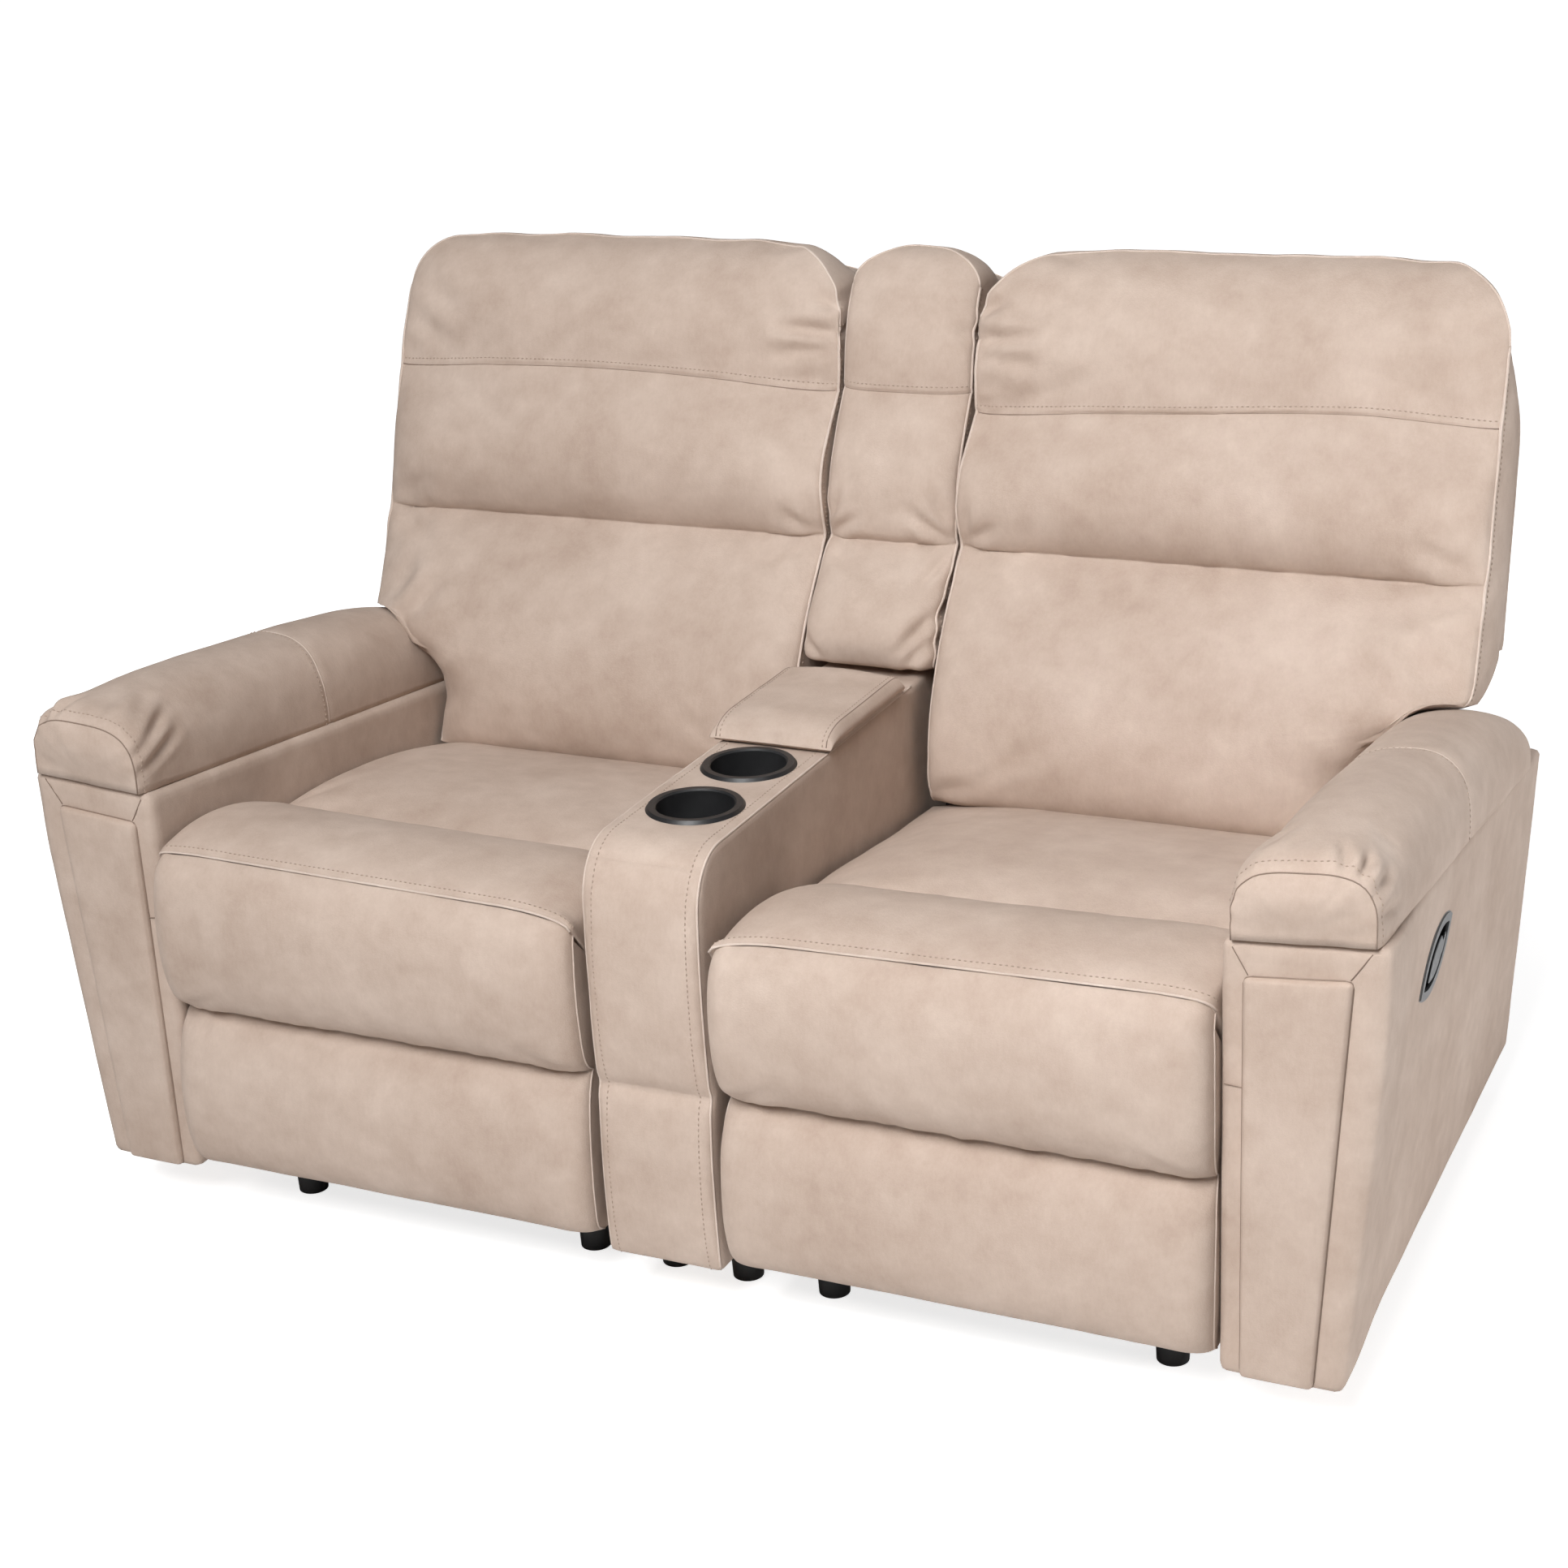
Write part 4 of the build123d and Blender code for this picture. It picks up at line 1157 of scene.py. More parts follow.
@dataclass(frozen=True)
class SeatEdge:
    """The line along a seat's front edge, where the footrest meets the cushion."""

    inner: float = 84.0
    outer: float = 636.0
    front: float = -464.0
    crease: float = -236.0
    height: float = 488.0
    inner_drop: float = 38.0
    inner_run: float = 92.0
    outer_drop: float = 17.0
    outer_run: float = 74.0
    tilt: float = 12.0
    slack: float = 0.45
    corner: float = 15.0
    corner_drop: float = 0.7
    sag: Track = Track((
        (-236, 24), (-190, 31), (-77, 39), (0, 39), (50, 36), (118, 25),
        (165, 16),
    ))
    sag_run: float = 150.0
    sag_start: float = 45.0

    def drop(self, x: float, y: float) -> float:
        """How far the cushion falls towards its two sides: roundly in front, gently behind the crease.

        Args:
            x: Place across.
            y: Place from front to rear.

        Returns:
            The fall in millimetres.
        """
        near = self.inner_drop * (1 - quarter((x - self.inner) / self.inner_run))
        gentle = self.sag.at(y)[0] * max(0.0, 1 - (x - self.inner) / self.sag_run) ** 2
        near = mixed(near, gentle, ease((y - self.crease) / self.sag_start))
        return near + self.outer_drop * (1 - quarter((self.outer - x) / self.outer_run))

    def lean(self, x: float) -> float:
        """How far the edge rises towards the arm."""
        return self.tilt * ((x - self.inner) / (self.outer - self.inner) - 0.5)

    def turned(self, x: float) -> float:
        """How far the edge has turned round its outer corner, from 0 to 1."""
        return 1 - quarter((self.outer - x) / self.corner)

    def round_off(self, x: float) -> float:
        """How far the outer corner is rounded off."""
        return self.corner_drop * self.corner * self.turned(x)

    def at(self, x: float) -> float:
        """Height of the edge."""
        return self.height + self.lean(x) - self.slack * self.drop(x, self.front) - self.round_off(x)


@dataclass(frozen=True)
class ArmTop:
    """The form of an arm's padded top, which the wing of the back rests on."""

    inner: float = 648.0
    outer: float = 797.0
    front: float = -460.0
    rear: float = 305.0
    proud: float = 4.0
    powers: tuple[float, float] = (0.62, 0.78)
    power_run: float = 110.0
    tall: Track = Track((
        (-460, 74), (-453, 82), (-428, 93), (-300, 107), (-65, 107), (80, 104),
        (182, 94), (270, 72), (305, 52),
    ))

    @property
    def middle(self) -> float:
        """Middle of the pad across."""
        return (self.inner + self.outer) / 2

    @property
    def half(self) -> float:
        """Half of the pad's width."""
        return (self.outer - self.inner) / 2

    def base(self, x: float, y: float) -> float:
        """Height of the arm under the pad."""
        return ARM_HIGH + (x - ARM_INNER) * ARM_RISE / ARM_WIDE - ARM_SLOPE * (y - ARM_FRONT)

    def square(self, y: float) -> float:
        """Power of the pad's section: the smaller, the squarer."""
        return mixed(*self.powers, ease((y - self.front) / self.power_run))

    def height(self, x: float, y: float) -> float:
        """Height of the pad's top at a place.

        Args:
            x: Place across.
            y: Place from front to rear.

        Returns:
            The height in millimetres.
        """
        if y > self.rear:
            return self.base(x, y)
        power = self.square(y)
        off = min(1.0, abs(x - self.middle) / (self.half + self.proud))
        return self.base(x, y) + self.tall.at(y)[0] * math.sin(math.acos(off ** (1 / power))) ** power


@dataclass
class SeatCushion(Cover):
    """A seat's cushion with its front roll and the crease behind it."""

    edge: SeatEdge = SeatEdge()
    swell: Swell = Swell(pressure=2.6, cap=0.010)
    meeting: float = 118.0
    rear: float = 165.0
    low_front: float = -400.0
    base: float = 384.0
    nose: float = 26.0
    lean_run: float = 60.0
    side_swell: float = 3.0
    set_back: float = 14.0
    set_back_run: float = 60.0
    roll: Track = Track((
        (-464, 488), (-456, 494), (-436, 501), (-390, 506), (-340, 503), (-295, 491),
        (-258, 469), (-236, 453),
    ))
    top: Track = Track((
        (-236, 453), (-222, 459), (-190, 464), (-120, 464), (-30, 456), (50, 443),
        (118, 427), (165, 414),
    ))

    def grid(self) -> Grid:
        """Places of the grid lines across, front to rear, and up."""
        edge = self.edge
        return (
            ticks((edge.inner, edge.outer), 8.0, 0.75),
            ticks((edge.front, edge.crease, self.meeting, self.rear), 8.0, 0.6),
            ticks((0.0, 1.0), 0.12, 0.3),
        )

    def height(self, x: float, y: float) -> float:
        """Height of the cushion's top.

        Args:
            x: Place across.
            y: Place from front to rear.

        Returns:
            The height in millimetres.
        """
        edge = self.edge
        middle = (self.roll if y < edge.crease else self.top).at(y)[0]
        nose = ease((edge.front + self.nose - y) / self.nose)
        lift = edge.lean(x) * ease((edge.crease - y) / self.lean_run)
        fall = edge.drop(x, y) * mixed(1.0, edge.slack, nose)
        return middle + lift - fall - edge.round_off(x) * nose

    def shape(self, a: float, b: float, c: float) -> Point:
        """The point for a place across, along and up.

        Args:
            a: Place across.
            b: Place from front to rear.
            c: Place up.

        Returns:
            The point in millimetres.
        """
        edge = self.edge
        low_y = mixed(self.low_front, self.rear, (b - edge.front) / (self.rear - edge.front))
        swell = self.side_swell * math.sin(math.pi * c)
        x = a - swell if a == edge.inner else a + swell if a == edge.outer else a
        set_back = self.set_back * edge.turned(a) * max(0.0, 1 - (b - edge.front) / self.set_back_run)
        return (x, mixed(low_y, b + set_back, c), mixed(self.base, self.height(a, b), c))

    def held(self, i: int, j: int, k: int) -> float:
        """The sides, the underside and the crease are held.

        Args:
            i: Grid number on the first axis.
            j: Grid number on the second axis.
            k: Grid number on the third axis.

        Returns:
            How firmly the point is held, from 0 to 1.
        """
        ends = self.form.ends
        if k < ends[2] or j == ends[1]:
            return 1.0
        if i in (0, ends[0]) or j == 0:
            return 0.9
        return 0.85 if j == self.form.near(1, self.edge.crease) else 0.0

    def puckers(self) -> list[Pucker]:
        """Gathers at the crease.

        Returns:
            The gathers.
        """
        inner, outer, crease = self.edge.inner, self.edge.outer, self.edge.crease
        seam = (
            (inner + 25, crease, 436.0), (230.0, crease, 453.0), (480.0, crease, 453.0),
            (outer - 25, crease, 444.0),
        )
        return [Pucker(seam, 1.5, 21.0, 30.0, self.seed)]

    def sew(self) -> None:
        """The welt along the front edge, with stitches behind it."""
        self.sewing.welt(self.path(self.form.run(None, 0, -1)), 1.5, 0.1)
        self.sewing.stitches(self.path(self.form.run(None, 2, -1)))


@dataclass
class FootrestPad(Cover):
    """The padded footrest: two panels with a deep seam between them."""

    edge: SeatEdge = SeatEdge()
    swell: Swell = Swell(pressure=2.6, cap=0.009)
    inner: float = 85.0
    outer: float = 636.0
    low: float = 84.0
    seam: float = 285.0
    shoulder: float = 400.0
    board: float = -412.0
    lower: Track = Track((
        (84, -450), (92, -470), (115, -482), (160, -488), (215, -484), (255, -472),
        (276, -457), (285, -444),
    ))
    upper: Track = Track((
        (285, -444), (294, -464), (315, -482), (360, -493), (410, -494), (450, -489),
        (472, -482), (486, -467),
    ))
    top: float = 486.0
    gap: float = 1.2
    thin: float = 1.5
    end_draw: float = 5.0
    side_swell: float = 3.0
    end_round: float = 0.34
    end_run: float = 30.0

    def grid(self) -> Grid:
        """Places of the grid lines across, up, and from rear to front."""
        return (
            ticks((self.inner, self.outer), 8.0, 0.75),
            ticks((self.low, self.seam, self.top), 7.0, 0.75),
            ticks((0.0, 1.0), 0.2, 0.2),
        )

    def pinch(self, z: float) -> float:
        """How far the panel's ends are drawn in at a height, from 0 to 1."""
        low, high = (self.low, self.seam) if z < self.seam else (self.seam, self.top)
        return abs(2 * (z - low) / (high - low) - 1) ** 3

    def shape(self, a: float, b: float, c: float) -> Point:
        """The point for a place across, up and forward.

        Args:
            a: Place across.
            b: Place up.
            c: Place from rear to front.

        Returns:
            The point in millimetres.
        """
        share = (a - self.inner) / (self.outer - self.inner)
        draw = self.end_draw * self.pinch(b) - self.side_swell
        x = mixed(self.inner + draw, self.outer - draw, share)
        front = (self.lower if b < self.seam else self.upper).at(b)[0]
        side = min(a - self.inner, self.outer - a)
        front += (front - self.board) * -self.end_round * (1 - quarter(side / self.end_run))
        under_seat = -403.0 - 0.64 * (b - 384.0)  # the line of the seat's sloping front
        rear = max(min(self.board, under_seat), front + self.thin)
        lift = self.edge.at(a) - self.gap - self.top
        z = b + lift * ease((b - self.shoulder) / (self.top - self.shoulder))
        return (x, mixed(rear, front, c), z)

    def held(self, i: int, j: int, k: int) -> float:
        """The rear, the edges and the seam are held.

        Args:
            i: Grid number on the first axis.
            j: Grid number on the second axis.
            k: Grid number on the third axis.

        Returns:
            How firmly the point is held, from 0 to 1.
        """
        ends = self.form.ends
        if k < ends[2]:
            return 1.0
        if i in (0, ends[0]) or j in (0, ends[1]):
            return 0.9
        return 1.0 if j == self.form.near(1, self.seam) else 0.0

    def folds(self) -> list[Fold]:
        """Creases at the ends of the seam and at the corners.

        Returns:
            The creases.
        """
        found = []
        for x, way in ((self.inner, 1.0), (self.outer, -1.0)):
            found += [
                Fold((x + 4 * way, -462, 290), (x + 80 * way, -488, 322), 2.6, 8),
                Fold((x + 6 * way, -460, 280), (x + 92 * way, -484, 252), 2.4, 8),
                Fold((x + 10 * way, -470, 455), (x + 60 * way, -490, 420), 1.6, 9),
            ]
        return found

    def puckers(self) -> list[Pucker]:
        """Gathers along the seam."""
        seam = ((self.inner, -450.0, self.seam), (self.outer, -450.0, self.seam))
        return [Pucker(seam, 1.7, 17.0, 26.0, self.seed)]

    def sew(self) -> None:
        """Welts along the two ends."""
        for i in (0, -1):
            self.sewing.welt(self.path(self.form.run(i, None, -1)), 1.6, 0.4)


@dataclass
class BackCushion(Cover):
    """A seat's back: lumbar roll, middle panel and head roll, with a wing over the arm."""

    swell: Swell = Swell(pressure=2.8, cap=0.012)
    inner: float = 93.0
    foot: float = 414.0
    rear_rise: tuple[float, float] = (140.0, 690.0)
    wing_fall: float = 44.0
    wing_z: float = 600.0
    wing_runs: tuple[float, float] = (150.0, 105.0)
    wing_change: float = 120.0
    wing_swell: float = 9.0
    side_swell: float = 3.0
    lip_run: float = 95.0
    bow_reach: float = 0.4
    foot_lift: float = 16.0
    foot_reach: float = 0.16
    arm_gap: float = 5.0
    shoulders: Shoulders = Shoulders()
    crown: float = 9.0
    top_round: float = 13.0
    tuck_z: float = 711.0
    seam_z: float = 891.0
    across: tuple[float, float] = (0.0135, 0.75)
    panels: tuple[tuple[float, float], ...] = ((0.023, 0.6), (0.034, 0.8), (0.024, 0.6))
    through: float = 0.085
    bow: Track = Track(((0, -23), (0.4, -11), (0.75, 0), (1, -7)))
    arm: ArmTop = ArmTop()
    lip: Track = Track((
        (0, 8), (0.12, 18), (0.3, 30), (0.6, 34), (0.85, 22), (1, 10), (1.08, 18),
        (3, 18),
    ))
    outline: Track = Track((
        (414, 629), (505, 629), (522, 635), (540, 654), (555, 686), (567, 718),
        (581, 735), (602, 741), (1058, 741),
    ))
    lumbar: Track = Track((
        (0, 139, 414), (0.06, 124, 424), (0.16, 111, 447), (0.32, 105, 492),
        (0.48, 115, 540), (0.64, 140, 590), (0.8, 182, 643), (0.92, 225, 686),
        (1, 252, 711),
    ))
    middle: Track = Track((
        (1, 254, 711), (1.05, 245, 718), (1.14, 238, 732), (1.32, 232, 768),
        (1.54, 243, 810), (1.76, 270, 850), (2, 303, 891),
    ))
    head: Track = Track((
        (2, 303, 891), (2.3, 312, 942), (2.6, 333, 996), (2.8, 357, 1030),
        (2.92, 383, 1050), (3, 410, 1057),
    ))
    crest: Track = Track(tuple((z, y) for _, y, z in head.knots))
    wing_edge: Track = Track((
        (414, 150), (440, 162), (475, 180), (510, 186), (542, 174), (583, 195),
        (604, 212), (628, 223), (680, 243), (732, 266), (838, 296), (942, 334),
        (993, 360), (1039, 404), (1057, 424),
    ))

    def grid(self) -> Grid:
        """Places of the grid lines across, up, and from rear to front.

        Returns:
            The places along each axis.
        """
        rows = [0.0]
        for n, (step, crowd) in enumerate(self.panels):
            rows += ticks((float(n), n + 1.0), step, crowd)[1:]
        return (ticks((0.0, 1.0), *self.across), rows, ticks((0.0, 1.0), self.through, 0.3))

    def face(self, b: float) -> tuple[float, float]:
        """The (y, z) of the front in the middle of the back.

        Args:
            b: Place up the back, from 0 to 3.

        Returns:
            The place from front to rear and the height, in millimetres.
        """
        if b <= TUCK:
            return self.lumbar.at(b)
        return (self.middle if b <= FLAT_SEAM else self.head).at(b)

    def fall(self, x: float, inner: float, outer: float) -> float:
        """How far the round shoulders fall below the crown at a place across.

        Args:
            x: Place across.
            inner: The back's inner edge.
            outer: The back's outer edge.

        Returns:
            The fall in millimetres.
        """
        crown = self.crown * (2 * (x - inner) / (outer - inner) - 1) ** 4
        crown += 2.5 * noise.noise(Vector((x / 55.0, self.seed, 0.7)))
        return crown + self.shoulders.fall(x, inner, outer)

    def seam(self, b: float) -> float:
        """How far the front steps in at the flat seam, with a small ridge above it."""
        off = (b - FLAT_SEAM) * 170.0
        return 2.4 * math.exp(-((off / 1.6) ** 2)) - 0.9 * math.exp(-(((off - 6.0) / 3.5) ** 2))

    def rise(self, z: float) -> float:
        """How far up the outside back the rear of the cushion lies, for a height of its front."""
        return mixed(*self.rear_rise, (z - self.foot) / (BACK_TOP - self.foot))

    def crowned(self, b: float, c: float) -> float:
        """How far the top swells out between the rear and the front."""
        return ease((b - 2.8) / 0.2) * self.top_round * math.sin(math.pi * c)

    def shape(self, a: float, b: float, c: float) -> Point:
        """The point for a place across, up and forward.

        Args:
            a: Place across.
            b: Place up.
            c: Place from rear to front.

        Returns:
            The point in millimetres.
        """
        y, z = self.face(b)
        inner = self.inner
        outer = self.outline.at(z + self.wing_fall * (1 - c * c))[0]
        rise = self.rise(z)
        outer -= corner_inset(rise) * (1 - c)
        x = mixed(inner, outer, a)
        near = 1 - quarter((x - inner) / self.lip_run)
        wing_run = mixed(*self.wing_runs, ease((z - self.wing_z) / self.wing_change))
        far = 1 - quarter((outer - x) / wing_run)
        fall = self.fall(x, inner, outer) * ease(b - FLAT_SEAM)
        fall -= self.bow.at(a)[0] * math.exp(-(((b - FLAT_SEAM) / self.bow_reach) ** 2)) * c
        y = (self.crest.at(z - fall)[0] if b > FLAT_SEAM else y) + self.seam(b)
        front = y + self.lip.at(b)[0] * near + (self.wing_edge.at(z - fall)[0] - y) * far
        rear = on_back(BACK_DEPTH, rise - REAR_FALL * fall)
        top = self.crowned(b, c)
        lift = self.foot_lift * max(0.0, 1 - b / self.foot_reach) * math.sin(math.pi * c ** 1.6)
        full = self.wing_swell if a == 1.0 and z > self.wing_z else self.side_swell
        x += outwards(a, full * math.sin(math.pi * c) * (1 - top / self.top_round))
        y = mixed(rear[0], front, c) + top
        z = mixed(rear[1], z - fall, c) + top + lift
        over_arm = x > self.arm.inner - self.arm.proud
        return (x, y, max(z, self.arm.height(x, y) + self.arm_gap) if over_arm else z)

    def held(self, i: int, j: int, k: int) -> float:
        """The rear, the sides, the foot and the tuck are held; the top is held less.

        Args:
            i: Grid number on the first axis.
            j: Grid number on the second axis.
            k: Grid number on the third axis.

        Returns:
            How firmly the point is held, from 0 to 1.
        """
        ends = self.form.ends
        if k < ends[2]:
            return 1.0 if j < ends[1] else 0.7
        if i in (0, ends[0]) or j == 0:
            return 0.95
        return 1.0 if self.form.lines[1][j] == TUCK else 0.0

    def folds(self) -> list[Fold]:
        """Creases at the upper corners, at the ends of the tuck and above the arm."""
        return [
            pinch((92, 958), (172, 966), 12, 8),
            pinch((94, 942), (190, 932), 6, 11),
            pinch((98, 992), (130, 1004), 8, 7),
            pinch((150, 985), (235, 1020), 3.4, 15),
            pinch((205, 960), (290, 1012), 2.8, 16),
            pinch((716, 1000), (640, 970), 4.2, 14),
            pinch((728, 965), (660, 925), 3.2, 14),
            pinch((97, 706), (190, 684), 5.6, 9),
            pinch((100, 718), (150, 748), 4.8, 8),
            pinch((99, 722), (112, 770), 3.4, 8),
            pinch((735, 704), (640, 676), 5.6, 10),
            pinch((735, 722), (655, 764), 4.2, 11),
            pinch((672, 588), (618, 640), 8.5, 12),
            pinch((640, 540), (560, 588), 6, 14),
            pinch((700, 612), (668, 660), 4.2, 13),
            pinch((632, 470), (560, 500), 3.2, 14),
            pinch((100, 430), (160, 452), 4, 12),
        ]

    def puckers(self) -> list[Pucker]:
        """Gathers along the tuck and the flat seam.

        Returns:
            The gathers.
        """
        tuck = tuple(
            (x, mixed(252.0, 258.0, abs(x - 417.0) / 320.0), self.tuck_z)
            for x in (100.0, 250.0, 417.0, 580.0, 735.0)
        )
        flat = tuple((x, y, self.seam_z) for x, y in ((100.0, 308.0), (417.0, 303.0), (735.0, 312.0)))
        return [Pucker(tuck, 2.1, 19.0, 30.0, self.seed), Pucker(flat, 0.8, 14.0, 18.0, self.seed + 4.0)]

    def sew(self) -> None:
        """Welts round the front with stitches beside them, and the flat seam's dark cord of painted shade
        with its topstitch.
        """
        form = self.form
        for i in (0, -1):
            self.sewing.welt(self.path(form.run(i, None, -1)), 2.3, 0.2)
            self.sewing.stitches(self.path(form.run(i, None, form.near(2, 0.95))))
        self.sewing.welt(self.path(form.run(None, -1, -1)), 1.8, 0.3)
        # A dark cord in the flat seam: painted shade of its groove.
        self.sewing.line(self.path(form.run(None, form.near(1, FLAT_SEAM), -1)))
        self.sewing.stitches(self.path(form.run(None, form.near(1, FLAT_SEAM + 0.055), -1)))


@dataclass
class OutsideBack(Stretched):
    """The covered rear of a back, with the step under a seat back's wing."""

    inner: float = 93.0
    outer: float = 737.0
    notch: float = 629.0
    step: float = 250.0
    step_run: float = 28.0
    shoulders: Shoulders = Shoulders()
    shoulder_run: float = 170.0
    drawn: float = 14.0
    drawn_run: float = 34.0
    crown: float = 5.0
    low: float = 0.0
    high: float = 700.0

    def grid(self) -> Grid:
        """Places of the grid lines across, up, and from rear to front."""
        return (
            ticks((0.0, 1.0), 0.03, 0.6),
            ticks((self.low, self.high), 16.0, 0.5),
            ticks((0.0, BACK_DEPTH), 7.0, 0.4),
        )

    def shape(self, a: float, b: float, c: float) -> Point:
        """The point for a place across, up and forward.

        Args:
            a: Place across.
            b: Place up.
            c: Place from rear to front.

        Returns:
            The point in millimetres.
        """
        inner, outer = self.inner, self.outer
        if self.notch < outer:
            outer = mixed(self.notch, outer, ease((b - self.step) / self.step_run + 0.5)) - corner_inset(b)
        x = mixed(inner, outer, a)
        fall = self.shoulders.fall(x, inner, outer)
        fall *= ease((b - self.high) / self.shoulder_run + 1.0)
        edge = min(x - inner, outer - x, b - self.low, self.high - b)
        drawn = self.drawn * (1 - quarter((edge + 2.0) / self.drawn_run))
        tall = self.high - self.low
        crown = -self.crown * math.sin(math.pi * a) * math.sin(math.pi * (b - self.low) / tall)
        depth = mixed(drawn + crown, BACK_DEPTH, c / BACK_DEPTH)
        return (x, *on_back(depth, b - REAR_FALL * fall))

    def sew(self) -> None:
        """The welt round the rear panel."""
        form = self.form
        for i in (0, -1):
            self.sewing.welt(self.path(form.run(i, None, 0)), 1.8, 0.3)
        self.sewing.welt(self.path(form.run(None, -1, 0)), 1.8, 0.3)


@dataclass
class ConsoleBack(BackCushion):
    """The narrow fixed back over the console, in line with the two seat backs."""

    swell: Swell = Swell(pressure=2.6, cap=0.010)
    half: float = 86.0
    foot: float = 578.0
    rear_rise: tuple[float, float] = (254.0, 690.0)
    shoulders: Shoulders = CONSOLE_SHOULDERS
    crown: float = 0.0
    top_round: float = 12.0
    side_swell: float = 2.0
    lip_run: float = 60.0
    lip_more: float = 4.0
    across: tuple[float, float] = (0.03, 0.8)
    panels: tuple[tuple[float, float], ...] = ((0.03, 0.8), (0.028, 0.8), (0.036, 0.7))
    through: float = 0.1
    lumbar: Track = Track((
        (0, 174, 577), (0.07, 158, 578), (0.16, 148, 587), (0.3, 145, 611),
        (0.5, 160, 642), (0.8, 205, 682), (1, 252, 711),
    ))
    middle: Track = Track((
        (1, 254, 711), (1.08, 243, 724), (1.2, 241, 746), (1.45, 250, 794),
        (1.75, 276, 848), (2, 303, 891),
    ))

    def shape(self, a: float, b: float, c: float) -> Point:
        """The point for a place across, up and forward.

        Args:
            a: Place across.
            b: Place up.
            c: Place from rear to front.

        Returns:
            The point in millimetres.
        """
        y, z = self.face(b)
        x = mixed(-self.half, self.half, a)
        fall = self.fall(x, -self.half, self.half) * ease(b - FLAT_SEAM)
        y = (self.crest.at(z - fall)[0] if b > FLAT_SEAM else y) + self.seam(b)
        near = 1 - quarter((self.half - abs(x)) / self.lip_run)
        front = y + (self.lip.at(b)[0] + self.lip_more) * near
        rear = on_back(BACK_DEPTH, self.rise(z) - REAR_FALL * fall)
        top = self.crowned(b, c)
        x += outwards(a, self.side_swell * math.sin(math.pi * c) * (1 - top / self.top_round))
        return (x, mixed(rear[0], front, c) + top, mixed(rear[1], z - fall, c) + top)

    def folds(self) -> list[Fold]:
        """Creases at the ends of the tuck, below the shoulder and at the foot."""
        return [
            pinch((-84, 716), (-38, 746), 6.5, 7),
            pinch((-86, 726), (-66, 776), 5, 6.5),
            pinch((84, 716), (30, 756), 7.5, 7),
            pinch((86, 724), (58, 784), 6, 6.5),
            pinch((-82, 706), (-36, 686), 5, 7),
            pinch((82, 706), (52, 668), 6, 7),
            pinch((86, 962), (64, 972), 7, 7),
            pinch((86, 644), (50, 600), 10, 8),
            pinch((86, 618), (58, 584), 9, 6.5),
            pinch((-84, 608), (-56, 586), 5, 7),
        ]

    def puckers(self) -> list[Pucker]:
        """Gathers along the tuck."""
        tuck = ((-84.0, 262.0, self.tuck_z), (84.0, 262.0, self.tuck_z))
        return [Pucker(tuck, 1.5, 15.0, 22.0, self.seed)]


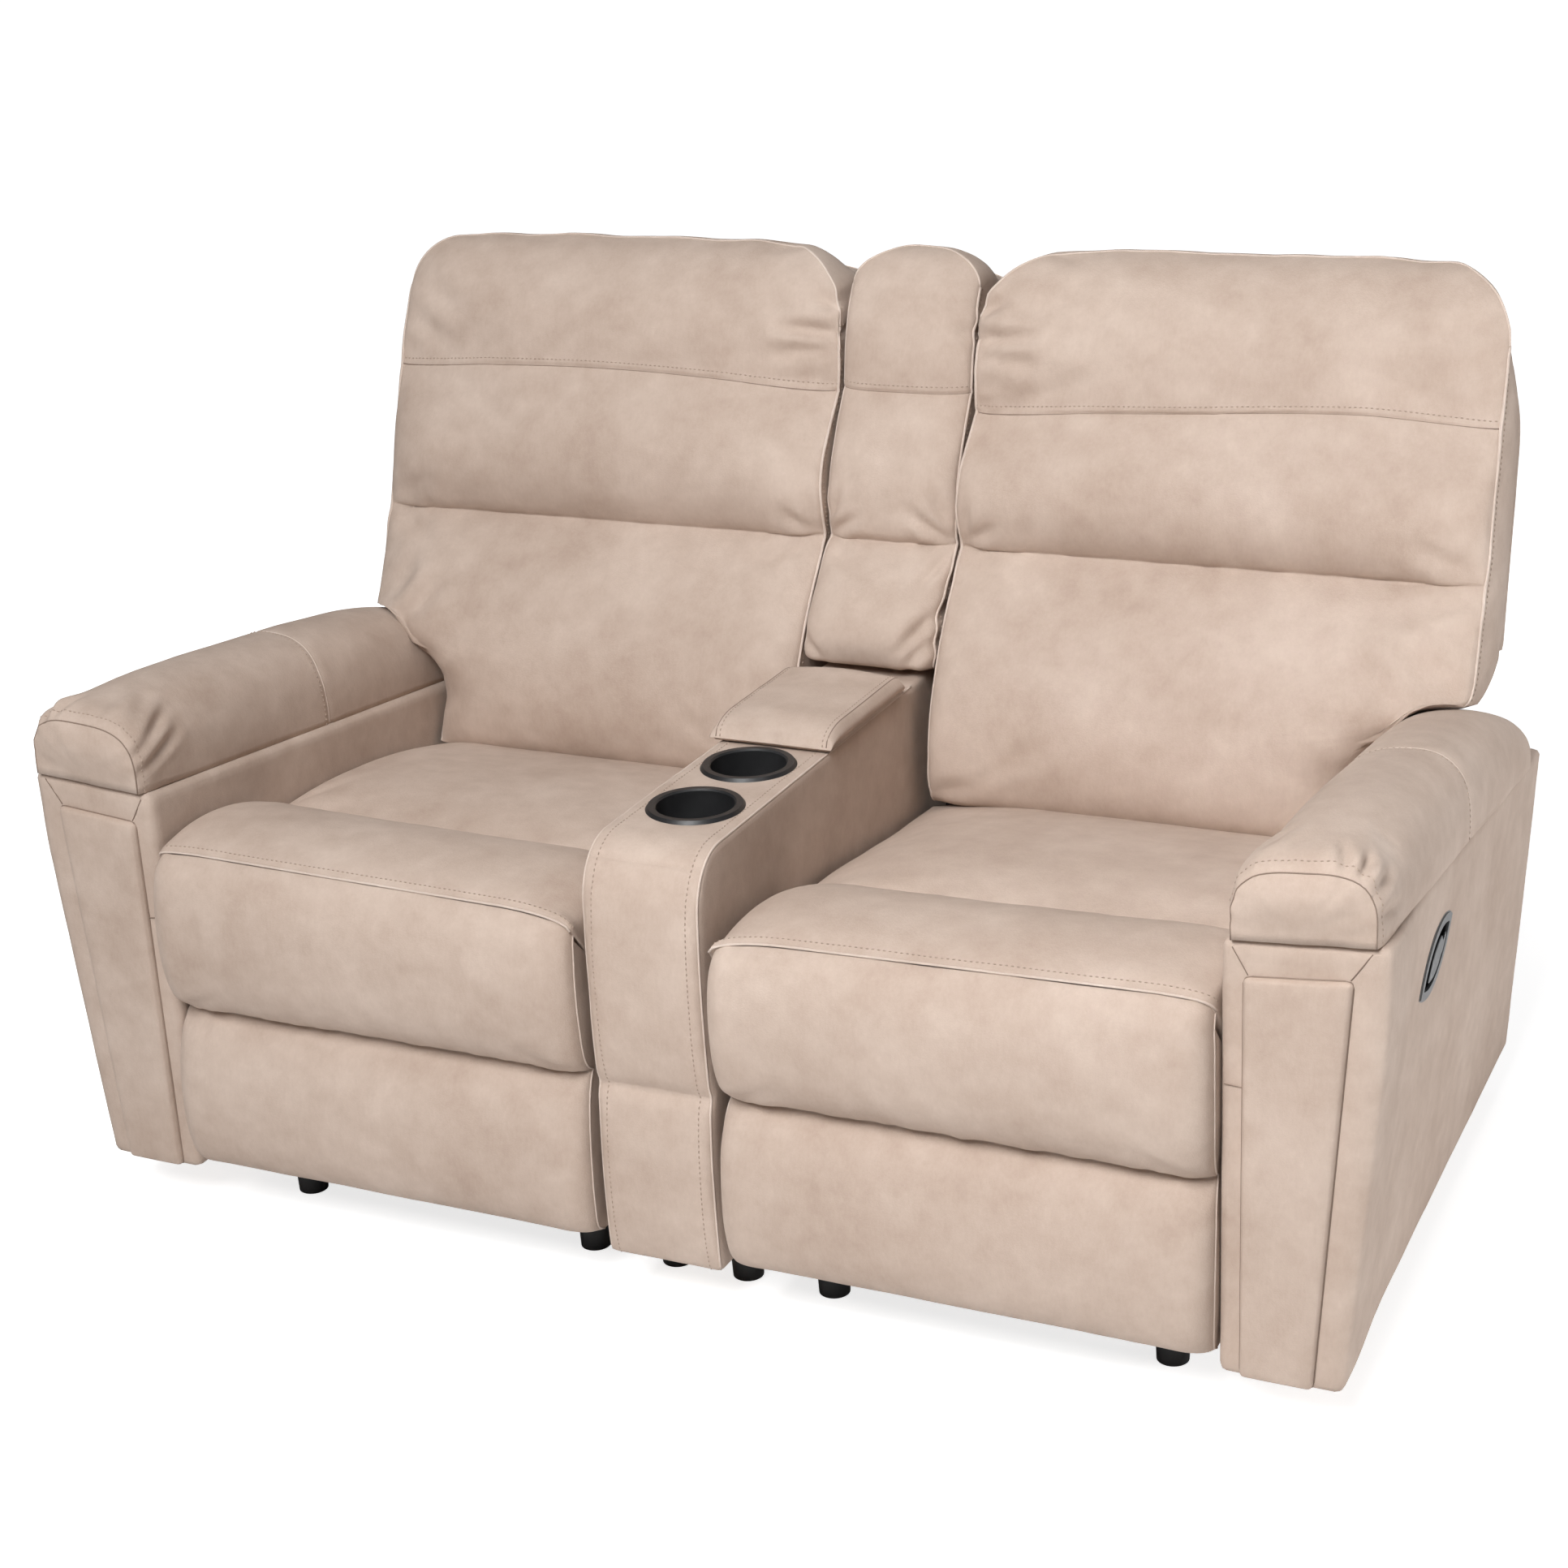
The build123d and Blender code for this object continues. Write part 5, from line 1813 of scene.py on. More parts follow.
@dataclass
class ArmPad(Cover):
    """The padded top of an arm, with a flat sewn cap at the front."""

    swell: Swell = Swell(pressure=2.4, cap=0.007)
    top: ArmTop = ArmTop()
    joint: float = -62.0
    fine_end: float = -330.0
    rim: float = math.radians(34.0)
    front_draw: float = 7.0
    front_run: float = 26.0
    tail_draw: float = 9.0
    tail_run: float = 30.0
    joint_skew: float = 22.0
    joint_run: float = 60.0
    cap_swell: float = 9.0
    bulge: float = 5.0

    def grid(self) -> Grid:
        """Places of the grid lines across, front to rear, and up."""
        front = ticks((self.top.front, self.fine_end), 4.2, 0.2)
        return (
            ticks((0.0, 1.0), 0.022, 0.3),
            front + ticks((self.fine_end, self.joint, self.top.rear), 9.0, 0.6)[1:],
            ticks((0.0, 1.0), 0.07, 0.2),
        )

    def shape(self, a: float, b: float, c: float) -> Point:
        """The point for a place across, along and up.

        Args:
            a: Place across.
            b: Place from front to rear.
            c: Place up.

        Returns:
            The point in millimetres.
        """
        top = self.top
        mid, rim = top.middle, self.rim
        draw = self.front_draw * (1 - quarter((b - top.front + 4.0) / self.front_run))
        draw += self.tail_draw * (1 - quarter((top.rear - b) / self.tail_run))
        half = top.half - draw
        near_seam = math.exp(-((b - self.joint) / 4.0) ** 2)
        tall = top.tall.at(b)[0] - 1.6 * near_seam
        square = top.square(b)

        def edge(turn: float) -> Vector:
            """A spot on the round of the section, at an angle from its outer foot.

            Args:
                turn: The angle, in radians.

            Returns:
                The spot in millimetres.
            """
            reach = abs(math.cos(turn)) ** square
            wide = half + self.bulge * math.sin(turn) - 1.5 * near_seam
            x = mid + math.copysign(reach, math.cos(turn)) * wide
            return Vector((x, 0.0, top.base(x, b) + tall * math.sin(turn) ** square))

        def low(t: float) -> Vector:
            """A spot on the underside of the section."""
            x = mixed(mid - half, mid + half, t)
            return Vector((x, 0.0, top.base(x, b)))

        spot = patch(
            a, c, low, lambda t: edge(mixed(math.pi - rim, rim, t)),
            lambda t: edge(math.pi - rim * t), lambda t: edge(rim * t),
        )
        y = b + self.joint_skew * (a - 0.5) * math.exp(-((b - self.joint) / self.joint_run) ** 2)
        if b == top.front:
            y -= self.cap_swell * math.sin(math.pi * a) * math.sin(math.pi * c)
        return (spot.x, y, spot.z)

    def held(self, i: int, j: int, k: int) -> float:
        """The underside, the front seam, the cross seam and the tail are held.

        Args:
            i: Grid number on the first axis.
            j: Grid number on the second axis.
            k: Grid number on the third axis.

        Returns:
            How firmly the point is held, from 0 to 1.
        """
        ends = self.form.ends
        if k == 0 or j == ends[1]:
            return 1.0
        if j == 0:
            return 0.95 if i in (0, ends[0]) or k == ends[2] else 0.3
        return 0.95 if j == self.form.near(1, self.joint) else 0.0

    def folds(self) -> list[Fold]:
        """Wrinkles behind the front cap and beside the cross seam."""
        return [
            Fold((649, -456, 582), (650, -372, 606), 5, 6.5),
            Fold((655, -456, 602), (664, -368, 634), 5.5, 6.5),
            Fold((668, -456, 620), (690, -372, 648), 4.5, 7),
            Fold((700, -452, 640), (716, -390, 660), 2.6, 7),
            Fold((762, -458, 642), (748, -410, 660), 4.6, 5.5),
            Fold((776, -458, 638), (778, -400, 652), 6.5, 5.5),
            Fold((790, -456, 622), (798, -372, 628), 5, 6.5),
            Fold((798, -454, 600), (802, -380, 585), 4.2, 6.5),
            Fold((690, -80, 632), (700, -150, 645), 2.2, 8),
            Fold((750, -50, 634), (745, 20, 628), 2.2, 8),
        ]

    def puckers(self) -> list[Pucker]:
        """Gathers behind the front cap and at the cross seam."""
        cap = tuple((722.0 + 74.0 * math.cos(t), -456.0, 565.0 + 78.0 * math.sin(t))
                    for t in (3.0, 2.4, 1.9, 1.5, 1.1, 0.7, 0.15))
        return [Pucker(cap, 1.6, 17.0, 28.0, self.seed)]

    def hoop(self, j: int) -> list[tuple[Vector, Vector]]:
        """The path over the pad along one of its cross lines."""
        run = self.form.run
        return self.path(run(0, j, None) + run(None, j, -1)[1:-1] + run(-1, j, None)[::-1])

    def sew(self) -> None:
        """The seam round the front cap with a dark cord of painted shade, and the welted cross seam, with
        stitches beside both.
        """
        row = self.form.near(1, self.joint)
        # A dark cord round the front cap: painted shade in its seam.
        self.sewing.line(self.hoop(0), 0.8, 0.1)
        self.sewing.welt(self.hoop(row), 1.1, 0.1)
        for j in (row - 2, self.form.near(1, self.top.front + 10.0)):
            self.sewing.stitches(self.hoop(j))


@dataclass
class ArmBody(Stretched):
    """The covered box of an arm, with an opening for the release handle."""

    inner: float = ARM_INNER
    foot: float = 765.0
    front: float = ARM_FRONT
    rear: float = 395.0
    low: float = 67.0
    high: float = ARM_HIGH
    edge: float = 9.0
    proud: float = 15.0
    proud_start: float = -260.0
    proud_run: float = 160.0
    handle: Handle = Handle()
    mitres: tuple[tuple[tuple[float, float], tuple[float, float]], ...] = (
        ((652, 549), (668, 521)), ((789, 560), (769, 530)), ((645, 400), (668, 398)),
    )

    def grid(self) -> Grid:
        """Places of the grid lines across, front to rear, and up."""
        return (
            ticks((self.inner, self.inner + 17, self.foot - 17, self.foot), 9.0, 0.3),
            ticks((self.front, self.front + 18, self.rear - 18, self.rear), 15.0, 0.3),
            ticks((self.low, self.low + 17, self.high - 17, self.high), 14.0, 0.3),
        )

    def shape(self, a: float, b: float, c: float) -> Point:
        """The point for a place across, along and up.

        Args:
            a: Place across.
            b: Place from front to rear.
            c: Place up.

        Returns:
            The point in millimetres.
        """
        low = (self.inner, self.front, self.low)
        high = (self.foot, self.rear, self.high)
        x, y, z = rounded((a, b, c), low, high, self.edge)
        wide = (x - self.inner) / (self.foot - self.inner)
        top = self.high + wide * ARM_RISE - ARM_SLOPE * (y - self.front)
        up = (z - self.low) / (self.high - self.low)
        z = mixed(self.low, top, up)
        x += wide * ARM_FLARE * (z - self.low) / ARM_TALL
        full = ease(0.4 + 0.6 * up) - 0.25 * ease(5.0 * up - 4.0)
        x += wide * self.proud * ease((self.proud_start - y) / self.proud_run) * full
        if a == self.foot:
            along = (b - self.front) / (self.rear - self.front)
            x += 2.5 * math.sin(math.pi * up) * math.sin(math.pi * along)
        return (x, y, z)

    def folds(self) -> list[Fold]:
        """Seams let into the front, above and beside the raised panel."""
        return [
            Fold((650, -456, 552), (668, -456, 520), 1.2, 3),
            Fold((792, -456, 562), (768, -456, 528), 1.2, 3),
            Fold((640, -456, 400), (668, -456, 398), 1.2, 3),
        ]

    def sew(self) -> None:
        """Dark cords in the mitre seams on the front, as painted shade of their grooves."""
        out = Vector((0.0, -1.0, 0.0))
        for start, end in self.mitres:
            run = []
            for t in (0.0, 0.25, 0.5, 0.75, 1.0):
                x, z = mixed(start[0], end[0], t), mixed(start[1], end[1], t)
                run.append((Vector((self.flip * x, self.front - 0.2, z)) * MM, out))
            self.sewing.line(run, 0.6, 0.0)

    def carve(self) -> None:
        """Cuts the opening for the release handle."""
        self.cut(almond(self.handle, self.flip))


def ring_solid(name: str, rings: Sequence[Sequence[Vector | Point]], flip: float = 1.0) -> bpy.types.Object:
    """A closed solid through rings of points.

    Args:
        name: Name of the object.
        rings: Points in millimetres, as many in each ring, one ring after the other.
        flip: -1 mirrors the solid to the other side.

    Returns:
        The object, linked to the scene.
    """
    count = len(rings[0])
    last = count * (len(rings) - 1)
    faces = []
    for base in range(0, last, count):
        for n in range(count):
            after = base + (n + 1) % count
            faces.append((base + n, after, after + count, base + n + count))
    faces += [tuple(range(count))[::-1], tuple(range(last, last + count))]
    points = [(x * flip * MM, y * MM, z * MM) for ring in rings for x, y, z in ring]
    mesh = bpy.data.meshes.new(name)
    mesh.from_pydata(points, [], faces if flip > 0 else [f[::-1] for f in faces])
    mesh.update()
    made = bpy.data.objects.new(name, mesh)
    bpy.context.scene.collection.objects.link(made)
    return made


def almond(handle: Handle, flip: float) -> bpy.types.Object:
    """A solid with the outline of a handle's opening, to cut with.

    Args:
        handle: Where the handle lies.
        flip: -1 mirrors the solid to the left arm.

    Returns:
        The solid, from below the bezel to outside the arm.
    """
    half, side, inset = 70.0, 34.0, 6.0
    inner, outer, steps = -34.5, 12.0, 14
    big = (half * half + side * side) / (2 * side)
    radius = big - inset
    tip = math.sqrt(radius ** 2 - (big - side) ** 2)
    outline = []
    for sign in (1.0, -1.0):
        for n in range(steps):
            x = mixed(-tip, tip, n / steps) * sign
            outline.append((x, sign * (math.sqrt(radius ** 2 - x * x) - big + side)))
    rings = [[handle.spot(x, y, depth) for x, y in outline[::-1]] for depth in (inner, outer)]
    return ring_solid("cutter", rings, flip)


@dataclass
class Paddle:
    """The pull paddle of a release handle, with the notch that a finger finds."""

    side: Side
    handle: Handle = Handle()
    thick: float = 5.0
    flush: float = 3.0
    bevel: float = 0.8
    narrow: float = 0.94
    centre: float = 10.0
    outline: tuple[tuple[float, float], ...] = (
        (-35, -6), (-31, -10), (-23, -14), (-11, -17.5), (2, -18.5), (12, -16.5),
        (18, -14.5), (24, -15.5), (30, -13), (36, -10), (41, -6), (42, -2.5),
        (37, -0.5), (31, -2), (27, -1.5), (25.5, 3), (24, 8), (17, 10.5), (8, 11.5),
        (-3, 10.5), (-13, 7), (-24, 0.5), (-31, -3.5),
    )

    def ring(self, depth: float, grow: float) -> list[Vector]:
        """The outline at a depth, grown about its centre."""
        middle = self.centre
        return [self.handle.spot(middle + (x - middle) * grow, y * grow, depth) for x, y in self.outline]

    def build(self, wardrobe: Wardrobe) -> None:
        """Makes the paddle and lets it swing with its joint.

        Args:
            wardrobe: The sofa's materials.
        """
        levels = ((self.flush - self.thick, 1.0), (self.flush - self.bevel, 1.0), (self.flush, self.narrow))
        rings = [self.ring(depth, grow) for depth, grow in levels]
        made = ring_solid(self.side.node("paddle_plate"), rings, float(self.side.value))
        # The paddle's sides, below its face, take painted black shadow from this material.
        made.data.materials.append(wardrobe.paddle)
        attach(made, self.side.node("paddle"))
        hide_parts(self.side.node("handle_paddle"))


def upright(ring: Sequence[tuple[float, float]], y: float, low: float, high: float) -> bpy.types.Object:
    """An upright solid in the middle of the console, to cut with, from its outline about a place."""
    return ring_solid("cutter", [[(x, y + v, z) for x, v in ring] for z in (low, high)])


@dataclass
class ArmFrontPanel(Stretched):
    """The raised panel sewn into the front of an arm."""

    fill: float = 0.7
    wave: float = 0.4
    low: float = 70.0
    high: float = 524.0
    thick: float = 7.0
    sunk: float = 6.0
    edge: float = 5.0
    wide: float = 71.0
    left: float = 664.0
    widths: tuple[float, float] = (76.0, 108.0)

    def grid(self) -> Grid:
        """Places of the grid lines across, front to rear, and up."""
        edge = self.edge
        return (
            ticks((0.0, edge, self.wide - edge, self.wide), 5.0, 0.2),
            ticks((-self.thick, 0.0), 1.4, 0.0),
            ticks((self.low, self.low + edge, self.high - edge, self.high), 9.0, 0.2),
        )

    def shape(self, a: float, b: float, c: float) -> Point:
        """The point for a place across, along and up.

        Args:
            a: Place across.
            b: Place from front to rear.
            c: Place up.

        Returns:
            The point in millimetres.
        """
        low = (0.0, -self.thick - self.sunk, self.low)
        x, y, z = rounded((a, b - self.sunk, c), low, (self.wide, self.sunk, self.high), self.edge)
        up = (z - self.low) / (self.high - self.low)
        wide = x / self.wide
        y = min(1.0, y + self.sunk)
        if b == -self.thick:
            y -= 2.5 * quarter(min(wide, 1 - wide) * 4.0) * quarter(min(up, 1 - up) * 12.0)
        return (self.left + wide * mixed(*self.widths, up), ARM_FRONT + y, z + (wide - 0.5) * 10.0 * up)

    def sew(self) -> None:
        """A dark cord where the panel is let into the arm, as painted shade of the gap round it."""
        form = self.form
        out = Vector((0.0, -1.0, 0.0))
        for run in (form.run(0, -1, None), form.run(None, -1, -1), form.run(-1, -1, None)):
            self.sewing.line([(spot, out) for spot, _ in self.path(run)], 1.3, 0.0)


@dataclass
class ConsoleBody(Stretched):
    """The covered console: a front that rolls over into the top, with two sides."""

    half: float = 71.0
    front: float = -456.0
    rear: float = 404.5
    low: float = 67.0
    high: float = 565.0
    edge: float = 7.0
    roll: float = 60.0
    seam: float = 282.0
    crest: float = 20.0
    bulge: float = 13.0
    bulge_run: float = 30.0
    seam_depth: float = 4.0
    seam_run: float = 14.0
    welt_end: float = 150.0
    cups: tuple[float, float] = (-314.0, -178.0)
    cup_radius: float = 47.0
    cup_sides: int = 48
    cup_depth: float = 80.0
    bin_y: float = -10.0
    bin_half: tuple[float, float] = (50.5, 90.5)
    bin_depth: float = 240.0
    clear: float = 30.0

    def grid(self) -> Grid:
        """Places of the grid lines across, front to rear, and up."""
        return (
            ticks((-self.half, 9 - self.half, self.half - 9, self.half), 8.0, 0.4),
            ticks((self.front, self.front + self.roll, self.rear), 9.0, 0.1),
            ticks((self.low, self.seam, self.high - self.roll, self.high), 8.0, 0.5),
        )

    def shape(self, a: float, b: float, c: float) -> Point:
        """The point for a place across, along and up.

        Args:
            a: Place across.
            b: Place from front to rear.
            c: Place up.

        Returns:
            The point in millimetres.
        """
        low = (-self.half, self.front, self.low)
        high = (self.half, self.rear, self.high)
        x, y, z = rounded((a, b, c), low, high, self.edge)
        turn_y = self.front + self.roll
        turn_z = self.high - self.roll
        dy = turn_y - y
        dz = z - turn_z
        if dy > 0 and dz > 0:
            scale = max(dy, dz) / math.hypot(dy, dz)
            y = turn_y - dy * scale
            z = turn_z + dz * scale
        crest = turn_z + self.crest
        if b == self.front and c < crest:
            bottom, top = (self.low, self.seam) if c < self.seam else (self.seam, crest)
            t = (c - bottom) / (top - bottom)
            soft = quarter((self.half - abs(x)) / self.bulge_run)
            y -= self.bulge * soft * (1 - abs(2 * t - 1) ** 2.6)
            y += self.seam_depth * (1 - min(1.0, abs(c - self.seam) / self.seam_run))
        return (x, y, z)

    def puckers(self) -> list[Pucker]:
        """Gathers along the seam on the front."""
        seam = ((-68.0, ARM_FRONT, self.seam), (68.0, ARM_FRONT, self.seam))
        return [Pucker(seam, 1.2, 13.0, 18.0, self.seed)]

    def sew(self) -> None:
        """Welts along both sides of the front and top, with a row of stitches inside each."""
        form = self.form
        for i, inside in ((0, 3), (form.ends[0], form.ends[0] - 3)):
            last = form.near(1, self.welt_end)
            edge = form.run(i, 0, None)[:-1] + form.run(i, None, -1)[1:last]
            self.sewing.welt(self.path(edge), 1.5, 0.3)
            row = form.run(inside, 0, None)[:-1] + form.run(inside, None, -1)[1:last]
            self.sewing.stitches(self.path(row))

    def carve(self) -> None:
        """Cuts the openings for the cup holders and the bin."""
        turns = [2 * math.pi * n / self.cup_sides for n in range(self.cup_sides)]
        cup = [(self.cup_radius * math.cos(turn), self.cup_radius * math.sin(turn)) for turn in turns]
        top = self.high + self.clear
        for y in self.cups:
            self.cut(upright(cup, y, self.high - self.cup_depth, top))
        wide, deep = self.bin_half
        corners = [(-wide, -deep), (wide, -deep), (wide, deep), (-wide, deep)]
        self.cut(upright(corners, self.bin_y, self.high - self.bin_depth, top))


@dataclass
class LidPad(Cover):
    """The padded lid of the console's bin."""

    swell: Swell = Swell(pressure=2.0, cap=0.004)
    half: float = 75.0
    front: float = -118.0
    rear: float = 99.0
    low: float = 567.5
    raised: float = 3.0
    board: Point = (71.5, -112.5, 576.8)
    side_swell: float = 4.0
    tucked: float = 2.2
    seams: tuple[float, float] = (70.0, 63.0)

    def grid(self) -> Grid:
        """Places of the grid lines across, front to rear, and up.

        Returns:
            The places along each axis.
        """
        side, edge, _ = self.board
        right = (54.0, side - 0.4, side + 0.4, self.half)
        return (
            ticks((*(-x for x in right[::-1]), *right), 6.0, 0.3),
            ticks((self.front, edge - 0.4, edge + 0.4, -66.0, self.rear - 20, self.rear), 6.0, 0.3),
            ticks((0.0, 1.0), 0.16, 0.1),
        )

    def top(self, x: float, y: float) -> float:
        """Height of the lid's top.

        Args:
            x: Place across.
            y: Place from front to rear.

        Returns:
            The height in millimetres.
        """
        across = 18.0 + 4.0 * quarter((self.half - abs(x)) / 7.0) + 6.5 * (1 - (x / self.half) ** 2)
        front = mixed(0.12, 1.0, quarter((y - self.front) / 46.0))
        rear = mixed(0.6, 1.0, quarter((self.rear - y) / 24.0))
        return self.low + self.raised + across * (front * rear)

    def shape(self, a: float, b: float, c: float) -> Point:
        """The point for a place across, along and up.

        Args:
            a: Place across.
            b: Place from front to rear.
            c: Place up.

        Returns:
            The point in millimetres.
        """
        side, edge, under = self.board
        high = self.top(a, b)
        inside = abs(a) < side and b > edge
        rim = self.low + (self.raised if abs(a) == self.half or b == self.front else 0.0)
        z = mixed(under if inside and c == 0.0 else rim, high, c)
        swell = self.side_swell * math.sin(math.pi * c) - self.tucked * (1 - c) ** 3
        x = a + math.copysign(swell, a) if abs(a) == self.half else a
        y = b - swell if b == self.front else b
        return (x, y, z)

    def held(self, i: int, j: int, k: int) -> float:
        """The underside and the edges are held."""
        ends = self.form.ends
        return 0.0 if k == ends[2] and 5 < i < ends[0] - 5 and 5 < j < ends[1] - 3 else 1.0

    def sew(self) -> None:
        """Dark cords in the seams along the two sides, as painted shade of their grooves, with stitches
        inside them.
        """
        form = self.form
        seam, inside = self.seams
        for sign in (-1.0, 1.0):
            self.sewing.line(self.path(form.run(form.near(0, sign * seam), None, -1)), 0.7)
            self.sewing.stitches(self.path(form.run(form.near(0, sign * inside), None, -1)))


@dataclass
class RearApron(Stretched):
    """The covered board that closes the rear below a seat back."""

    fill: float = 0.3
    low: Point = (72.0, 378.0, 72.0)
    high: Point = (639.0, 391.0, 345.0)
    edge: float = 5.0

    def grid(self) -> Grid:
        """Places of the grid lines across, front to rear, and up."""
        spans = list(zip(self.low, self.high))
        return (ticks(spans[0], 24.0, 0.5), ticks(spans[1], 3.0, 0.0), ticks(spans[2], 20.0, 0.5))

    def shape(self, a: float, b: float, c: float) -> Point:
        """The point for a place across, along and up."""
        return rounded((a, b, c), self.low, self.high, self.edge)


LEFT_BOW = Track(((0, -5), (0.5, 9), (1, 2)))
LEFT_SHOULDERS = Shoulders(far=56.0, far_run=56.0)
SEEDS = {Side.LEFT: 3.0, Side.RIGHT: 11.0}


@dataclass
class Recliner:
    """One seat with its back, arm and footrest."""

    side: Side

    def named(self, word: str, body: str, node: str) -> dict[str, object]:
        """What a cover of this side is called, rides on and stands for, and how it is drawn."""
        return {
            "name": self.side.node(word), "body": body, "nodes": (self.side.node(node),),
            "flip": float(self.side.value), "seed": SEEDS[self.side],
        }

    def covers(self) -> list[Cover]:
        """The sewn pieces of this side.

        Returns:
            The pieces, in the order in which they are made.
        """
        back_body, rest_body = self.side.node("back"), self.side.node("footrest")
        front = BackCushion(**self.named("back_front_cover", back_body, "back_cushion"))
        rear = OutsideBack(**self.named("back_rear_cover", back_body, "back_cover"))
        if self.side is Side.LEFT:
            front.bow = LEFT_BOW
            front.shoulders = rear.shoulders = LEFT_SHOULDERS
        return [
            SeatCushion(**self.named("seat_cover", "base", "seat_cushion")),
            FootrestPad(**self.named("footrest_cover", rest_body, "footrest_pad")),
            front,
            rear,
            ArmBody(**self.named("arm_cover", "base", "arm_body")),
            ArmPad(**self.named("arm_pad_cover", "base", "arm_pad")),
            ArmFrontPanel(**self.named("arm_front_cover", "base", "arm_front_panel")),
        ]

    def dress(self, wardrobe: Wardrobe) -> None:
        """Builds this side's covers.

        Args:
            wardrobe: The sofa's materials.
        """
        for cover in self.covers():
            cover.build(wardrobe)
        Paddle(self.side).build(wardrobe)
        LOG.info("%s seat dressed", self.side.tag)


@dataclass
class Console:
    """The console between the seats, with its lid and back, and the aprons behind the seats."""

    back_half: float = 82.0
    back_low: float = 262.0

    def covers(self) -> list[Cover]:
        """The console's sewn pieces."""
        half = self.back_half
        return [
            ConsoleBody("console_body_cover", "base", ("console_cover", "console_sides"), seed=5.0),
            LidPad("lid_cover", "lid", ("lid_pad",), seed=6.0),
            ConsoleBack("console_back_front_cover", "base", ("console_back_cushion",), seed=7.0),
            OutsideBack(
                "console_back_rear_cover", "base", ("console_back_cover",), seed=8.0, inner=-half, outer=half,
                notch=half, low=self.back_low, shoulders=CONSOLE_SHOULDERS,
            ),
        ]

    def aprons(self) -> list[Cover]:
        """The two rear aprons."""
        nodes = ("rear_aprons",)
        return [
            RearApron(side.node("apron_cover"), "base", nodes, float(side.value), 9.0 * side.value)
            for side in Side
        ]

    def dress(self, wardrobe: Wardrobe) -> None:
        """Builds the console's covers and the two rear aprons.

        Args:
            wardrobe: The sofa's materials.
        """
        for cover in self.covers() + self.aprons():
            cover.build(wardrobe)
        LOG.info("console dressed")


@dataclass
class Hardware:
    """The wood, steel and plastic parts, which keep their own shapes."""

    parts: dict[str, bpy.types.Object]

    def dress(self, wardrobe: Wardrobe) -> None:
        """Puts a material on each part whose name holds one of the listed words.

        Args:
            wardrobe: The sofa's materials.
        """
        by_word = {
            "feet": wardrobe.black, "cup_holder": wardrobe.black, "console_bin": wardrobe.black,
            "handle_bezel": wardrobe.bezel, "handle_paddle": wardrobe.paddle, "seat_springs": wardrobe.bare,
            "lid_hinge": wardrobe.bare, "lid_board": wardrobe.lining, "base_frame": wardrobe.coated,
            "side_plates": wardrobe.coated, "links": wardrobe.coated, "torque_tube": wardrobe.coated,
            "brackets": wardrobe.coated, "footrest_board": wardrobe.lining, "frame": wardrobe.timber,
        }
        for name, part in self.parts.items():
            finish = next((m for word, m in by_word.items() if word in name), None)
            if finish is None:
                continue
            for place in part.material_slots:
                place.material = finish
            if not part.material_slots:
                part.data.materials.append(finish)
        LOG.info("hardware dressed")


@dataclass(frozen=True)
class Lamp:
    """A square soft lamp.

    Attributes:
        name: Name of the lamp.
        spot: Where it hangs, in metres.
        aim: What it points at.
        size: Length of its side.
        power: Its power in watts.
        beam: The angle of its beam, in degrees.
    """

    name: str
    spot: Point
    aim: Point
    size: float
    power: float
    beam: float = 180.0

    def hang(self) -> None:
        """Adds the lamp to the scene."""
        light = bpy.data.lights.new(self.name, "AREA")
        light.spread = math.radians(self.beam)
        light.shape = "SQUARE"
        light.size = self.size
        light.energy = self.power
        made = bpy.data.objects.new(self.name, light)
        made.location = self.spot
        made.rotation_euler = (Vector(self.aim) - Vector(self.spot)).to_track_quat("-Z", "Y").to_euler()
        bpy.context.scene.collection.objects.link(made)


